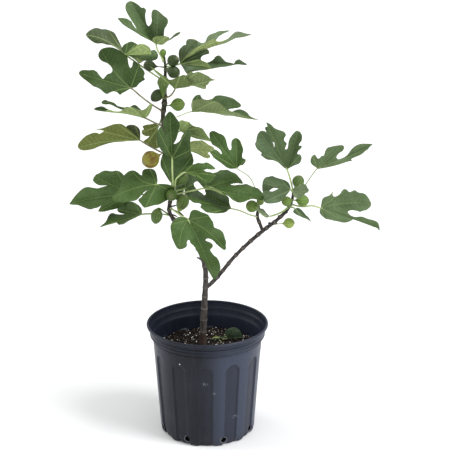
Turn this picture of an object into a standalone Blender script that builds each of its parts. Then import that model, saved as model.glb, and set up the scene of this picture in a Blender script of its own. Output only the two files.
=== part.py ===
"""A common fig tree in a nursery pot: pot, soil, stem, seedling, 29 leaves and 18 figs.

The origin is the middle of the pot's underside, +Z is up and the view is along +Y.
"""
import math
from typing import NamedTuple

import bmesh
import bpy
from mathutils import Matrix, Vector, noise
from mathutils.geometry import delaunay_2d_cdt

# Driving dimensions, in metres
MM = 0.001
POT_HEIGHT = 0.236
LIP_RADIUS = 0.125
BAND_RADIUS = 0.1195
WALL_TOP_RADIUS = 0.1125
WALL_FOOT_RADIUS = 0.0985
WALL = 0.0020
FLOOR = 0.0030
WALL_FOOT = 0.012
BAND_FOOT = 0.208
LIP_FOOT = 0.2305
LIP_EDGE = 0.0012
LIP_WIDTH = 0.0040
INNER_DROP = 0.0008
FLUTES = 12
FLUTE_DEPTH = 0.0026
FLUTE_TOP = 0.184
FLUTE_RUN_OUT = 0.008
FLUTE_HALF = math.radians(6.5)
FLUTE_SLOPE = math.radians(2.5)
DRAIN_HOLES = 8
DRAIN_RADIUS = 0.0065
DRAIN_HEIGHT = 0.0135
DRAIN_TURN = math.radians(20.0)
DRILL_LENGTH = 0.030
SOIL_TOP = 0.180
SOIL_SKIRT = 0.001
SOIL_FOOT_INSET = 0.012
SOIL_LUMP = 0.0035
LUMP_SCALES = ((55.0, 1.0), (130.0, 0.6))
GAP = 0.0003
BLADE = 0.0008
STALK_RADIUS = 1.25
STALK_TAPER = 0.15
STALK_TIP = 0.30
STALK_RUN = 0.14
NECK_RADIUS = 1.7
NECK_SWELL = 1.1
SPIN_STEPS = 48
FIG_STEPS = 10
WELD = 1e-6

# The outside of the pot's band as (beyond BAND_RADIUS, height), and of its foot as (inside the wall, height)
BAND_PROFILE = ((-0.003, 0.211), (-0.001, 0.2185), (0.001, 0.228))
FOOT_PROFILE = ((0.006, 0.0), (0.0015, 0.004))
FOOT_INNER = ((0.0035, 0.006), (0.007, FLOOR))
SOIL_RINGS = (0.88, 0.66, 0.44, 0.20)

# A fig's body as angles in degrees from its neck to its eye, seen from the middle of its round end
FIG_BELL = (48, 88, 132)

# A lobe's outline: how wide it is at parts of its length, and the ears beside the base in (degrees, part)
LOBE_PROFILE = ((0.55, 0.90), (0.76, 0.97), (0.92, 0.64))
EAR = ((26.0, 0.34), (44.0, 0.13))
EAR_ROOM = math.radians(48.0)
WIDEST_ROOM = 1.3
LOBE_ROOM = 0.93
BEYOND_NOTCH = 1.08
VEIN_POINTS = (0.32, 0.68)
TURN_STEP = 0.01

# The upright view that the plant's places are given in: an eye before the pot, level with its eye height
EYE_ACROSS = 0.0362
EYE_BACK = 2.4
EYE_HEIGHT = 1.212


class Leaf(NamedTuple):
    """One leaf. Places are (across, up, near) in mm, as in_view takes them.

    lobes are (across, up, near, half width) of each lobe's tip, clockwise from above the upper side, and
    may end with how far the lobe bends sideways. cuts give how far out the notch after each lobe starts.
    """

    name: str
    base: tuple
    stalk: tuple
    lobes: tuple
    bow: float
    cuts: tuple


class Fig(NamedTuple):
    """One fruit, from its root on the stem to its eye, with its greatest radius. Places in mm."""

    name: str
    root: tuple
    eye: tuple
    radius: float


LEAVES = (
    Leaf("leaf_crown", (-95, 808, 0), ((-82, 775, 0), (-88, 795, 2)),
         ((-167, 859, 60, 13), (-144, 891, 0, 24), (-91, 876, 22, 20), (-52, 832, 60, 7)),
         4, (0.6, 0.45, 0.5)),
    Leaf("leaf_top_left", (-153, 788, -36), ((-84, 738, -2), (-110, 756, -46), (-132, 771, -45)),
         ((-190, 770, -63, 13), (-229, 831, -48, 18), (-149, 821, -72, 16), (-106, 801, -34, 15)),
         4, (0.6, 0.5, 0.7)),
    Leaf("leaf_top_right", (-50, 772, -24), ((-80, 765, 0), (-66, 767, -21)),
         ((-44, 812, -45, 17), (46, 835, -82, 10), (85, 827, -22, 9), (62, 772, 52, 12), (-14, 754, 66, 14)),
         4, (0.6, 0.6, 0.5, 0.7)),
    Leaf("leaf_small_right", (-60, 721, 54), ((-81, 703, 2), (-68, 710, 39)),
         ((-2, 726, 99, 9), (18, 740, 75, 10), (-14, 756, 39, 12), (-108, 764, 75, 6)), 4, (0.7, 0.7, 0.4)),
    Leaf("leaf_big_left", (-145, 723, 22), ((-86, 678, 1), (-105, 690, 15), (-126, 706, 21)),
         ((-187, 714, 42, 15), (-246, 752, 30, 20), (-198, 797, -12, 27), (-130, 780, 6, 20)),
         4, (0.82, 0.6, 0.7)),
    Leaf("leaf_flat_left", (-120, 664, 0), ((-84, 648, 0), (-100, 654, 0)),
         ((-118, 668, 52, 10), (-165, 672, 75, 15), (-216, 681, 0, 14), (-180, 694, -68, 17),
          (-106, 692, -52, 14)), 4, (0.7, 0.6, 0.6, 0.7)),
    Leaf("leaf_long_left", (-130, 618, -18), ((-80, 590, 0), (-104, 603, -12)),
         ((-140, 651, -42, 14), (-178, 654, -18, 18), (-218, 641, -2, 17), (-253, 602, 2, 15),
          (-200, 619, -87, 16)), 4, (0.85, 0.85, 0.75, 0.6)),
    Leaf("leaf_behind_left", (-99, 650, -57), ((-83, 666, -2), (-90, 664, -36)),
         ((-128, 640, -75, 11), (-118, 606, -69, 13), (-94, 614, -93, 10)), 3, (0.6, 0.6)),
    Leaf("leaf_front", (-68, 580, 51), ((-66, 525, 3), (-62, 531, 33), (-66, 555, 46)),
         ((-90, 592, 75, 10), (-95, 650, 66, 13), (-71, 678, 42, 19), (-35, 640, 66, 18), (-29, 604, 84, 13)),
         4, (0.7, 0.62, 0.6, 0.75)),
    Leaf("leaf_front_lower", (-69, 531, 16), ((-68, 519, 3), (-70, 523, 13)),
         ((-91, 574, 22, 19), (-67, 606, 18, 21), (-33, 578, 20, 18)), 2, (0.75, 0.75)),
    Leaf("leaf_flat_right", (-28, 677, 0), ((-84, 655, 0), (-56, 667, 0)),
         ((-26, 706, -68, 13), (45, 704, -87, 20), (101, 660, 0, 15), (40, 668, 68, 14), (-15, 680, 52, 10)),
         4, (0.75, 0.6, 0.6, 0.7)),
    Leaf("leaf_back_right", (-66, 634, -75), ((-78, 612, -2), (-72, 622, -51)),
         ((28, 612, -117, 12), (4, 642, -138, 14), (-30, 664, -156, 12)), 4, (0.6, 0.6)),
    Leaf("leaf_pale_right", (-50, 598, -24), ((-75, 588, -2), (-62, 594, -21)),
         ((-28, 618, -78, 10), (6, 617, -72, 13), (23, 602, -30, 13), (8, 584, 9, 10), (-25, 585, 12, 8)),
         4, (0.7, 0.6, 0.6, 0.7)),
    Leaf("leaf_mitten", (60, 561, 12), ((103, 484, 0), (98, 515, -9), (84, 545, 0)),
         ((13, 595, 36, 12), (8, 636, 15, 20), (58, 626, 6, 18), (79, 584, 24, 11)), 4, (0.55, 0.5, 0.8)),
    Leaf("leaf_low_front", (-45, 553, 51), ((-65, 515, 2), (-56, 525, 38), (-50, 543, 51)),
         ((-26, 573, 40, 10), (4, 576, 39, 15), (20, 556, 57, 14), (-8, 545, 93, 11)), 4, (0.75, 0.7, 0.6)),
    Leaf("leaf_right_arm", (0, 521, 18), ((-70, 510, 1), (-50, 511, 12), (-22, 517, 18)),
         ((24, 552, -51, 16), (69, 537, -21, 20), (112, 497, 45, 16), (60, 494, 72, 13), (8, 506, 57, 9)),
         4, (0.82, 0.7, 0.65, 0.7)),
    Leaf("leaf_dark_right", (-44, 520, -36), ((-68, 514, -2), (-56, 517, -27)),
         ((-28, 550, -66, 12), (4, 543, -96, 14), (6, 514, -66, 12)), 4, (0.6, 0.6)),
    Leaf("leaf_left_of_twig", (50, 480, 15), ((101, 462, 1), (86, 466, 9), (68, 474, 15)),
         ((42, 468, 60, 9), (6, 470, 75, 14), (-34, 490, 21, 17), (-4, 508, -45, 15), (40, 498, -45, 10)),
         4, (0.7, 0.65, 0.7, 0.75)),
    Leaf("leaf_hanging", (-37, 456, 69), ((-68, 466, 3), (-54, 462, 39)),
         ((4, 464, 81, 18), (38, 392, 81, 19, 3), (15, 330, 60, 15, -9), (-51, 392, 78, 17, -3),
          (-72, 446, 81, 13)), 3, (0.8, 0.62, 0.5, 0.75)),
    Leaf("leaf_far_left", (-150, 508, -60), ((-73, 502, -2), (-110, 508, -45)),
         ((-168, 490, -27, 10), (-214, 472, -6, 16), (-276, 490, -48, 19), (-227, 547, -99, 20),
          (-178, 555, -99, 15)), 4, (0.7, 0.65, 0.55, 0.75)),
    Leaf("leaf_mid_left", (-99, 529, 21), ((-71, 516, 1), (-84, 523, 15)),
         ((-66, 512, 51, 13), (-118, 480, 57, 18), (-190, 500, 33, 20), (-164, 556, -2, 22),
          (-109, 562, -9, 14)), 4, (0.65, 0.62, 0.7, 0.75)),
    Leaf("leaf_low_left", (-130, 467, -9), ((-75, 474, 0), (-100, 476, -21)),
         ((-124, 454, 33, 9), (-172, 443, 33, 13), (-215, 437, -9, 15), (-188, 479, -60, 16),
          (-148, 493, -57, 14)), 4, (0.75, 0.7, 0.6, 0.75)),
    Leaf("leaf_branch_top", (160, 558, 6), ((172, 512, 0), (167, 535, 3)),
         ((110, 592, 39, 12), (104, 640, 30, 17), (121, 655, 9, 17), (176, 638, 9, 18), (188, 589, 33, 12)),
         4, (0.78, 0.9, 0.55, 0.8)),
    Leaf("leaf_far_right", (219, 562, 2), ((171, 509, -1), (190, 521, -22), (207, 546, -9)),
         ((211, 589, -21, 10), (268, 612, -33, 18), (326, 609, 0, 17, 4), (285, 584, 39, 10),
          (242, 562, 42, 7)), 4, (0.7, 0.5, 0.6, 0.7)),
    Leaf("leaf_low_right", (228, 479, 2), ((168, 488, 0), (190, 483, 0), (211, 485, 2)),
         ((236, 508, -30, 13), (286, 520, -39, 22), (328, 492, 0, 20), (347, 435, 45, 11, -5),
          (270, 449, 60, 17), (227, 464, 39, 10)), 4, (0.85, 0.85, 0.68, 0.72, 0.8)),
    Leaf("leaf_branch_left", (160, 521, 21), ((171, 514, 2), (166, 518, 16)),
         ((121, 490, 57, 14), (108, 530, 30, 14), (134, 549, -12, 14)), 3, (0.7, 0.7)),
    Leaf("leaf_branch_front", (182, 515, 42), ((173, 510, 2), (177, 513, 27)),
         ((194, 527, 54, 8), (207, 512, 63, 11), (194, 497, 72, 8)), 2, (0.85, 0.85)),
    Leaf("leaf_branch_low", (180, 478, 18), ((165, 484, 1), (172, 482, 12)),
         ((198, 464, -12, 7), (206, 453, 15, 8), (190, 457, 42, 7)), 2, (0.6, 0.6)),
    Leaf("leaf_twig", (124, 475, 27), ((163, 482, 1), (143, 481, 21)),
         ((118, 458, 51, 7), (104, 462, 45, 8), (108, 474, 21, 6)), 2, (0.7, 0.7)),
)

FIGS = (
    Fig("fig_bud", (-81, 788, 0), (-83, 802, 2), 5.0),
    Fig("fig_crown_right", (-79, 768, 2), (-52, 784, 14), 10.5),
    Fig("fig_under_crown", (-80, 752, 3), (-52, 757, 16), 12.0),
    Fig("fig_dark_left", (-80, 764, -1), (-117, 768, -16), 11.5),
    Fig("fig_left_upper", (-82, 713, 1), (-109, 710, 4), 11.0),
    Fig("fig_pear", (-84, 703, 5), (-83, 745, 19), 12.0),
    Fig("fig_bright", (-82, 688, 1), (-43, 692, 10), 12.7),
    Fig("fig_ripe", (-77, 598, 3), (-125, 573, 34), 17.0),
    Fig("fig_low_left", (-77, 474, 3), (-112, 450, 14), 12.0),
    Fig("fig_facing", (-69, 510, 4), (-71, 506, 36), 11.0),
    Fig("fig_front_dark", (-68, 502, 4), (-43, 472, 17), 12.5),
    Fig("fig_small_right", (-66, 533, 1), (-36, 534, 2), 9.0),
    Fig("fig_tip_right", (172, 517, 0), (189, 543, 2), 11.0),
    Fig("fig_tip_low", (170, 497, 2), (204, 494, 10), 12.0),
    Fig("fig_tip_left", (169, 497, 3), (150, 491, 14), 10.0),
    Fig("fig_branch", (131, 446, 2), (177, 450, 10), 11.0),
    Fig("fig_twig_left", (101, 476, 2), (77, 484, 10), 11.0),
    Fig("fig_twig_tip", (103, 482, 2), (112, 498, 8), 7.5),
)

TRUNK = (
    (-9, 110, 0, 7.0), (-9, 182, 0, 7.0), (-9, 210, 0, 7.1), (-7, 250, 0, 6.6), (-5, 290, 0, 5.4),
    (-3, 325, 0, 5.0), (-4, 352, 0, 4.8), (-12, 382, -2, 4.6), (-30, 415, -3, 4.4), (-52, 441, -2, 4.2),
    (-68, 458, 0, 4.1), (-75, 474, 0, 4.0), (-73, 496, 0, 3.9), (-67, 524, 0, 3.9), (-72, 560, 0, 3.8),
    (-78, 600, 0, 3.6), (-83, 640, 0, 3.5), (-85, 670, 0, 3.4), (-83, 700, 0, 3.3), (-81, 735, 0, 3.0),
    (-79, 765, 0, 2.6), (-81, 785, 0, 2.2),
)
BRANCH = (
    (-4, 308, 0, 3.2), (8, 320, 0, 3.6), (22, 335, 0, 3.4), (54, 376, 2, 3.3), (86, 409, 4, 3.2),
    (113, 433, 4, 3.1), (140, 455, 3, 2.9), (160, 476, 0, 2.7), (170, 498, 0, 2.5), (172, 520, 0, 2.2),
)
TWIG = ((112, 432, 4, 2.4), (107, 445, 2, 2.4), (101, 462, 0, 2.3), (102, 474, 0, 2.2), (104, 485, 0, 2.0))
STUB = ((-5, 360, 0, 2.2), (-11, 370, 0, 2.0), (-20, 376, 1, 1.6))
SPROUT = Leaf("sprout", (49, 203, -30), ((12, 188, -35), (17, 199, -34), (33, 203, -32)),
              ((41, 213, -21, 9), (52, 223, -34, 13), (74, 206, -38, 10)), 3, (0.8, 0.8))


def in_view(across, up, near):
    """Give the point that is seen at (across, up) mm on the plane y = 0, but lies near mm before it."""
    scale = (EYE_BACK - near * MM) / EYE_BACK
    x = EYE_ACROSS + (across * MM - EYE_ACROSS) * scale
    z = EYE_HEIGHT + (up * MM - EYE_HEIGHT) * scale
    return Vector((x, -near * MM, z))


def smooth_path(points, per_span):
    """Give points on a Catmull-Rom curve through the points, with per_span steps from one to the next."""
    ends = [points[0] * 2 - points[1], *points, points[-1] * 2 - points[-2]]
    path = []
    for i in range(1, len(ends) - 2):
        p0, p1, p2, p3 = ends[i - 1:i + 3]
        for k in range(per_span):
            t = k / per_span
            path.append(0.5 * (2 * p1 + (p2 - p0) * t + (2 * p0 - 5 * p1 + 4 * p2 - p3) * t ** 2
                               + (3 * p1 - p0 - 3 * p2 + p3) * t ** 3))
    path.append(points[-1])
    return path


class BladeShape:
    """Lays a flat lobed outline along the rays from a leaf's base to its lobes' tips."""

    def __init__(self, leaf):
        self.base = in_view(*leaf.base)
        rays = [in_view(*lobe[:3]) - self.base for lobe in leaf.lobes]
        self.lengths = [ray.length for ray in rays]
        self.widths = [lobe[3] * MM for lobe in leaf.lobes]
        self.bends = [sum(lobe[4:]) * MM for lobe in leaf.lobes]
        turns = [0.0]
        for one, two in zip(rays, rays[1:]):
            turns.append(turns[-1] + one.angle(two))
        self.main = self.lengths.index(max(self.lengths))
        self.turns = [turn - turns[self.main] for turn in turns]
        self.rays = [ray.normalized() for ray in rays]
        self.bow = leaf.bow * MM
        self.cuts = leaf.cuts

    def slopes(self, i):
        """Give the change of the ray's direction with the turn, at lobe i."""
        low = max(i - 1, 0)
        high = min(i + 1, len(self.rays) - 1)
        slope = (self.rays[high] - self.rays[low]) / (self.turns[high] - self.turns[low])
        return slope - self.rays[i] * slope.dot(self.rays[i])

    def direction(self, turn):
        """Give the unit direction from the base at a turn from the main lobe."""
        last = len(self.rays) - 1
        for end, beyond in ((0, turn < self.turns[0]), (last, turn > self.turns[last])):
            if beyond:
                side = self.slopes(end).normalized()
                more = turn - self.turns[end]
                return self.rays[end] * math.cos(more) + side * math.sin(more)
        i = max(k for k in range(last) if self.turns[k] <= turn)
        span = self.turns[i + 1] - self.turns[i]
        t = (turn - self.turns[i]) / span
        ray = (self.rays[i] * (2 * t ** 3 - 3 * t ** 2 + 1) + self.slopes(i) * span * (t ** 3 - 2 * t ** 2 + t)
               + self.rays[i + 1] * (3 * t ** 2 - 2 * t ** 3) + self.slopes(i + 1) * span * (t ** 3 - t ** 2))
        return ray.normalized()

    def reach(self, turn):
        """Give the lobes' length at a turn, between one lobe and the next."""
        if turn <= self.turns[0]:
            return self.lengths[0]
        for i in range(len(self.turns) - 1):
            if turn <= self.turns[i + 1]:
                t = (turn - self.turns[i]) / (self.turns[i + 1] - self.turns[i])
                return self.lengths[i] * (1 - t) + self.lengths[i + 1] * t
        return self.lengths[-1]

    def place(self, x, y):
        """Give the place in space of a point of the flat blade, whose main lobe points along +y."""
        radius = math.hypot(x, y)
        if radius < WELD:
            return self.base.copy()
        turn = math.atan2(x, y)
        ray = self.direction(turn)
        side = self.direction(turn + TURN_STEP) - self.direction(turn - TURN_STEP)
        normal = side.cross(ray).normalized()
        part = radius / self.reach(turn)
        return self.base + ray * radius + normal * self.bow * 4 * part * (1 - part)

    def flat(self, turn, along, aside=0.0):
        """Give the flat place that is along a ray and aside of it."""
        return Vector((math.sin(turn) * along + math.cos(turn) * aside,
                       math.cos(turn) * along - math.sin(turn) * aside))

    def on_lobe(self, i, part, aside):
        """Give the flat place at a part of lobe i's length, aside of its bent main vein."""
        bend = self.bends[i] * 4 * part * (1 - part)
        return self.flat(self.turns[i], self.lengths[i] * part, aside + bend)

    def ear(self, i, side):
        """Give the two points of the rounded ear beside the base, beyond an outer lobe."""
        return [self.flat(self.turns[i] + side * math.radians(turn), self.lengths[i] * part)
                for turn, part in EAR]

    def lobe_side(self, i, side, half_turn, notch):
        """Give one side of lobe i from the notch beside it to its tip, inside its half of the turn."""
        points = []
        for part, share in LOBE_PROFILE:
            along = self.lengths[i] * part
            if along < notch * BEYOND_NOTCH:
                continue
            aside = self.bends[i] * 4 * part * (1 - part) + side * self.widths[i] * share
            room = math.tan(min(half_turn, WIDEST_ROOM)) * along * LOBE_ROOM
            points.append(self.flat(self.turns[i], along, side * min(side * aside, room)))
        return points

    def anchors(self):
        """Give the outline's points: both sides and the tip of each lobe, the cuts between, two ears."""
        last = len(self.turns) - 1
        points = list(reversed(self.ear(0, -1)))
        half_turn = EAR_ROOM
        notch = self.lengths[0] * EAR[0][1]
        for i in range(last + 1):
            points += self.lobe_side(i, -1, half_turn, notch)
            points.append(self.flat(self.turns[i], self.lengths[i]))
            half_turn = EAR_ROOM
            notch = self.lengths[i] * EAR[0][1]
            if i < last:
                half_turn = (self.turns[i + 1] - self.turns[i]) / 2
                notch = min(self.lengths[i], self.lengths[i + 1]) * self.cuts[i]
            points += reversed(self.lobe_side(i, 1, half_turn, notch))
            if i < last:
                points.append(self.flat(self.turns[i] + half_turn, notch))
        return points + self.ear(last, 1)


def new_material(name, colour, roughness):
    """Make one part's plain surface."""
    material = bpy.data.materials.new(name)
    material.use_nodes = True
    shader = material.node_tree.nodes["Principled BSDF"]
    shader.inputs["Base Color"].default_value = (*colour, 1.0)
    shader.inputs["Roughness"].default_value = roughness
    material.diffuse_color = (*colour, 1.0)
    return material


def add_object(name, mesh, collection):
    """Put a mesh in a collection as an object of that name."""
    made = bpy.data.objects.new(name, mesh)
    collection.objects.link(made)
    return made


def mesh_from(name, bm):
    """Turn a bmesh into a mesh and free it."""
    mesh = bpy.data.meshes.new(name)
    bm.to_mesh(mesh)
    bm.free()
    return mesh


def evaluated_mesh(made):
    """Give a new mesh of an object as its modifiers leave it, with loose caps welded."""
    graph = bpy.context.evaluated_depsgraph_get()
    mesh = bpy.data.meshes.new_from_object(made.evaluated_get(graph))
    bm = bmesh.new()
    bm.from_mesh(mesh)
    bmesh.ops.remove_doubles(bm, verts=bm.verts, dist=WELD * 10)
    bmesh.ops.recalc_face_normals(bm, faces=bm.faces)
    bm.to_mesh(mesh)
    bm.free()
    return mesh


def remove(made):
    """Take an object out of the file."""
    bpy.data.objects.remove(made, do_unlink=True)


def tube(name, points, radii, sides_more, collection):
    """Make a round tube with closed ends along points, as a mesh object."""
    curve = bpy.data.curves.new(name, "CURVE")
    curve.dimensions = "3D"
    curve.bevel_depth = MM
    curve.bevel_resolution = sides_more
    curve.use_fill_caps = True
    spline = curve.splines.new("POLY")
    spline.points.add(len(points) - 1)
    for spot, place, radius in zip(spline.points, points, radii):
        spot.co = (*place, 1.0)
        spot.radius = radius
    drawn = add_object(name + "_curve", curve, collection)
    made = add_object(name, evaluated_mesh(drawn), collection)
    remove(drawn)
    return made


def limb(name, spots, grow, sides_more, per_span, collection):
    """Make a tapering limb through (across, up, near, radius) spots, grown by some mm all round."""
    route = smooth_path([in_view(*spot[:3]) for spot in spots], per_span)
    widths = smooth_path([Vector((spot[3], 0, 0)) for spot in spots], per_span)
    return tube(name, route, [width.x + grow for width in widths], sides_more, collection)


def boolean(made, operation, other):
    """Join an object to another or cut it by that, and keep the result as its mesh."""
    step = made.modifiers.new(operation.lower(), "BOOLEAN")
    step.operation = operation
    step.object = other
    for solver in ("EXACT", "MANIFOLD"):
        step.solver = solver
        result = evaluated_mesh(made)
        if result.polygons:
            break
    made.data = result
    made.modifiers.clear()


def as_cutter(made):
    """Keep an object out of the model."""
    made.hide_render = True
    made.display_type = "WIRE"


def flute_turn(turn):
    """Move the turned wall's even steps to the foot and the brow of each side of a flute."""
    period = 2 * math.pi / FLUTES
    step = round((turn % period) / (period / 4)) % 4
    places = (FLUTE_HALF, FLUTE_HALF + FLUTE_SLOPE, period - FLUTE_HALF - FLUTE_SLOPE, period - FLUTE_HALF)
    return math.floor(turn / period + WELD) * period + places[step]


def flute_depth(turn, height):
    """Give how far the wall stands back at a turn and a height, which is nothing outside the flutes."""
    period = 2 * math.pi / FLUTES
    away = abs((turn + period / 2) % period - period / 2)
    inside = away < FLUTE_HALF + FLUTE_SLOPE / 2 and height < FLUTE_TOP - FLUTE_RUN_OUT / 2
    return FLUTE_DEPTH if inside else 0.0


def turned(name, profile, collection):
    """Turn a closed profile of (radius, height) round Z and press the flutes into it."""
    bm = bmesh.new()
    verts = [bm.verts.new((radius, 0.0, height)) for radius, height in profile]
    edges = [bm.edges.new(pair) for pair in zip(verts, verts[1:])]
    bmesh.ops.spin(bm, geom=verts + edges, cent=(0, 0, 0), axis=(0, 0, 1), angle=2 * math.pi,
                   steps=SPIN_STEPS, use_merge=True)
    bmesh.ops.remove_doubles(bm, verts=bm.verts, dist=WELD)
    for vert in bm.verts:
        radius = math.hypot(vert.co.x, vert.co.y)
        if radius < WALL:
            continue
        turn = flute_turn(math.atan2(vert.co.x, -vert.co.y) % (2 * math.pi) + WELD)
        if radius > WALL_FOOT_RADIUS - SOIL_FOOT_INSET:
            radius -= flute_depth(turn, vert.co.z)
        vert.co.x = math.sin(turn) * radius
        vert.co.y = -math.cos(turn) * radius
    bmesh.ops.recalc_face_normals(bm, faces=bm.faces)
    return add_object(name, mesh_from(name, bm), collection)


def wall_radius(height):
    """Give the outer radius of the tapering wall at a height."""
    part = (height - WALL_FOOT) / (BAND_FOOT - WALL_FOOT)
    return WALL_FOOT_RADIUS + (WALL_TOP_RADIUS - WALL_FOOT_RADIUS) * part


def build_pot(parts, cutters):
    """Turn the pot, press its flutes and drill its drain holes."""
    rows = (WALL_FOOT, FLUTE_TOP - FLUTE_RUN_OUT, FLUTE_TOP)
    band = [(WALL_TOP_RADIUS, BAND_FOOT)] + [(BAND_RADIUS + more, height) for more, height in BAND_PROFILE]
    outer = [(0.0, 0.0)] + [(WALL_FOOT_RADIUS - less, height) for less, height in FOOT_PROFILE]
    outer += [(wall_radius(row), row) for row in rows] + band
    outer += [(LIP_RADIUS, LIP_FOOT), (LIP_RADIUS, POT_HEIGHT - LIP_EDGE)]
    outer += [(LIP_RADIUS - LIP_EDGE, POT_HEIGHT)]
    inner = [(LIP_RADIUS - LIP_WIDTH, POT_HEIGHT)]
    inner += [(radius - WALL, height - INNER_DROP) for radius, height in reversed(band)]
    inner += [(wall_radius(row) - WALL, row) for row in reversed(rows)]
    inner += [(WALL_FOOT_RADIUS - less, height) for less, height in FOOT_INNER] + [(0.0, FLOOR)]
    pot = turned("pot", outer + inner, parts)
    drills = bpy.data.collections.new("drain_drills")
    cutters.children.link(drills)
    for i in range(DRAIN_HOLES):
        turn = DRAIN_TURN + i * 2 * math.pi / DRAIN_HOLES
        place = Vector((math.sin(turn), -math.cos(turn), 0.0)) * WALL_FOOT_RADIUS
        bpy.ops.mesh.primitive_cylinder_add(vertices=12, radius=DRAIN_RADIUS, depth=DRILL_LENGTH)
        drill = bpy.context.object
        drill.name = f"drain_drill_{i}"
        drill.matrix_world = (Matrix.Translation(place + Vector((0, 0, DRAIN_HEIGHT)))
                              @ Matrix.Rotation(turn, 4, "Z") @ Matrix.Rotation(math.pi / 2, 4, "X"))
        for holder in drill.users_collection:
            holder.objects.unlink(drill)
        drills.objects.link(drill)
        as_cutter(drill)
    cut = pot.modifiers.new("drain_holes", "BOOLEAN")
    cut.operation = "DIFFERENCE"
    cut.operand_type = "COLLECTION"
    cut.collection = drills
    cut.solver = "EXACT"
    pot.data = evaluated_mesh(pot)
    pot.modifiers.clear()
    pot.data.materials.append(new_material("pot_plastic", (0.055, 0.065, 0.095), 0.45))
    return pot


def build_soil(parts, cutter, sprout_cutter):
    """Fill the pot's inside with soil, lumpy on top, with holes for the trunk and the seedling."""
    back = WALL + GAP
    top_radius = wall_radius(SOIL_TOP) - back - FLUTE_DEPTH
    profile = [(0.0, FLOOR + GAP), (WALL_FOOT_RADIUS - SOIL_FOOT_INSET, FLOOR + GAP)]
    profile += [(wall_radius(row) - back, row) for row in (WALL_FOOT, FLUTE_TOP - FLUTE_RUN_OUT)]
    profile += [(top_radius, SOIL_TOP - SOIL_SKIRT)]
    profile += [(top_radius * part, SOIL_TOP) for part in SOIL_RINGS] + [(0.0, SOIL_TOP)]
    soil = turned("soil", profile, parts)
    for vert in soil.data.vertices:
        if vert.co.z > SOIL_TOP - 2 * SOIL_SKIRT:
            vert.co.z += SOIL_LUMP * sum(share * noise.noise(vert.co * scale) for scale, share in LUMP_SCALES)
    for other in (cutter, sprout_cutter):
        boolean(soil, "DIFFERENCE", other)
    soil.data.materials.append(new_material("soil_mix", (0.035, 0.022, 0.015), 0.95))
    return soil


def build_stem(name, grow, collection):
    """Join trunk, branch, twig and stub in one body, grown by some mm all round."""
    stem = limb(name, TRUNK, grow, 3, 1, collection)
    for label, spots in (("branch", BRANCH), ("twig", TWIG), ("stub", STUB)):
        other = limb(label, spots, grow, 2, 1, collection)
        boolean(stem, "UNION", other)
        remove(other)
    return stem


def build_blade(leaf, collection):
    """Make a leaf's blade: the flat outline with points on its veins, laid in space, then thickened."""
    shape = BladeShape(leaf)
    outline = [Vector((0.0, 0.0))] + shape.anchors()
    count = len(outline)
    veins = [shape.on_lobe(i, part, 0.0) for i in range(len(shape.turns)) for part in VEIN_POINTS]
    rim = [(i, (i + 1) % count) for i in range(count)]
    places, _, faces, *_ = delaunay_2d_cdt(outline + veins, rim, [], 1, WELD)
    bm = bmesh.new()
    verts = [bm.verts.new(shape.place(*place)) for place in places]
    for face in faces:
        bm.faces.new([verts[i] for i in face])
    blade = add_object(leaf.name, mesh_from(leaf.name, bm), collection)
    wall = blade.modifiers.new("thickness", "SOLIDIFY")
    wall.thickness = BLADE
    wall.offset = 0.0
    blade.data = evaluated_mesh(blade)
    blade.modifiers.clear()
    return blade, shape


def build_leaf(leaf, cutter, collection):
    """Join a blade and its stalk, whose end runs on in the main vein, and clear it of the stem."""
    blade, shape = build_blade(leaf, collection)
    vein = [shape.place(*shape.on_lobe(shape.main, part, 0.0)) for part in (0.0, STALK_RUN)]
    route = smooth_path([in_view(*spot) for spot in leaf.stalk] + vein, 2)
    last = len(route) - 1
    radii = [STALK_RADIUS - STALK_TAPER * i / last for i in range(last)] + [STALK_TIP]
    stalk = tube(leaf.name + "_stalk", route, radii, 1, collection)
    boolean(blade, "UNION", stalk)
    remove(stalk)
    if cutter is not None:
        boolean(blade, "DIFFERENCE", cutter)
    blade.data.materials.append(new_material(leaf.name + "_green", (0.075, 0.16, 0.035), 0.5))
    return blade


def build_fig(fig, cutter, collection):
    """Turn a pear-shaped fruit about the line from its root to its eye and clear it of the stem."""
    root = in_view(*fig.root)
    line = in_view(*fig.eye) - root
    length = line.length
    neck_length = max(length - 2 * fig.radius * MM, MM)
    profile = [(0.0, 0.0), (NECK_RADIUS * MM, 0.0), (NECK_RADIUS * NECK_SWELL * MM, neck_length / 2)]
    for angle in FIG_BELL:
        bell = math.radians(angle)
        profile.append((math.sin(bell) * fig.radius * MM, length - fig.radius * MM * (1 + math.cos(bell))))
    profile.append((0.0, length))
    bm = bmesh.new()
    verts = [bm.verts.new((radius, 0.0, height)) for radius, height in profile]
    edges = [bm.edges.new(pair) for pair in zip(verts, verts[1:])]
    bmesh.ops.spin(bm, geom=verts + edges, cent=(0, 0, 0), axis=(0, 0, 1), angle=2 * math.pi,
                   steps=FIG_STEPS, use_merge=True)
    bmesh.ops.remove_doubles(bm, verts=bm.verts, dist=WELD)
    bmesh.ops.recalc_face_normals(bm, faces=bm.faces)
    turn = Vector((0, 0, 1)).rotation_difference(line).to_matrix().to_4x4()
    bm.transform(Matrix.Translation(root) @ turn)
    fruit = add_object(fig.name, mesh_from(fig.name, bm), collection)
    boolean(fruit, "DIFFERENCE", cutter)
    fruit.data.shade_smooth()
    fruit.data.materials.append(new_material(fig.name + "_skin", (0.17, 0.24, 0.06), 0.5))
    return fruit


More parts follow.
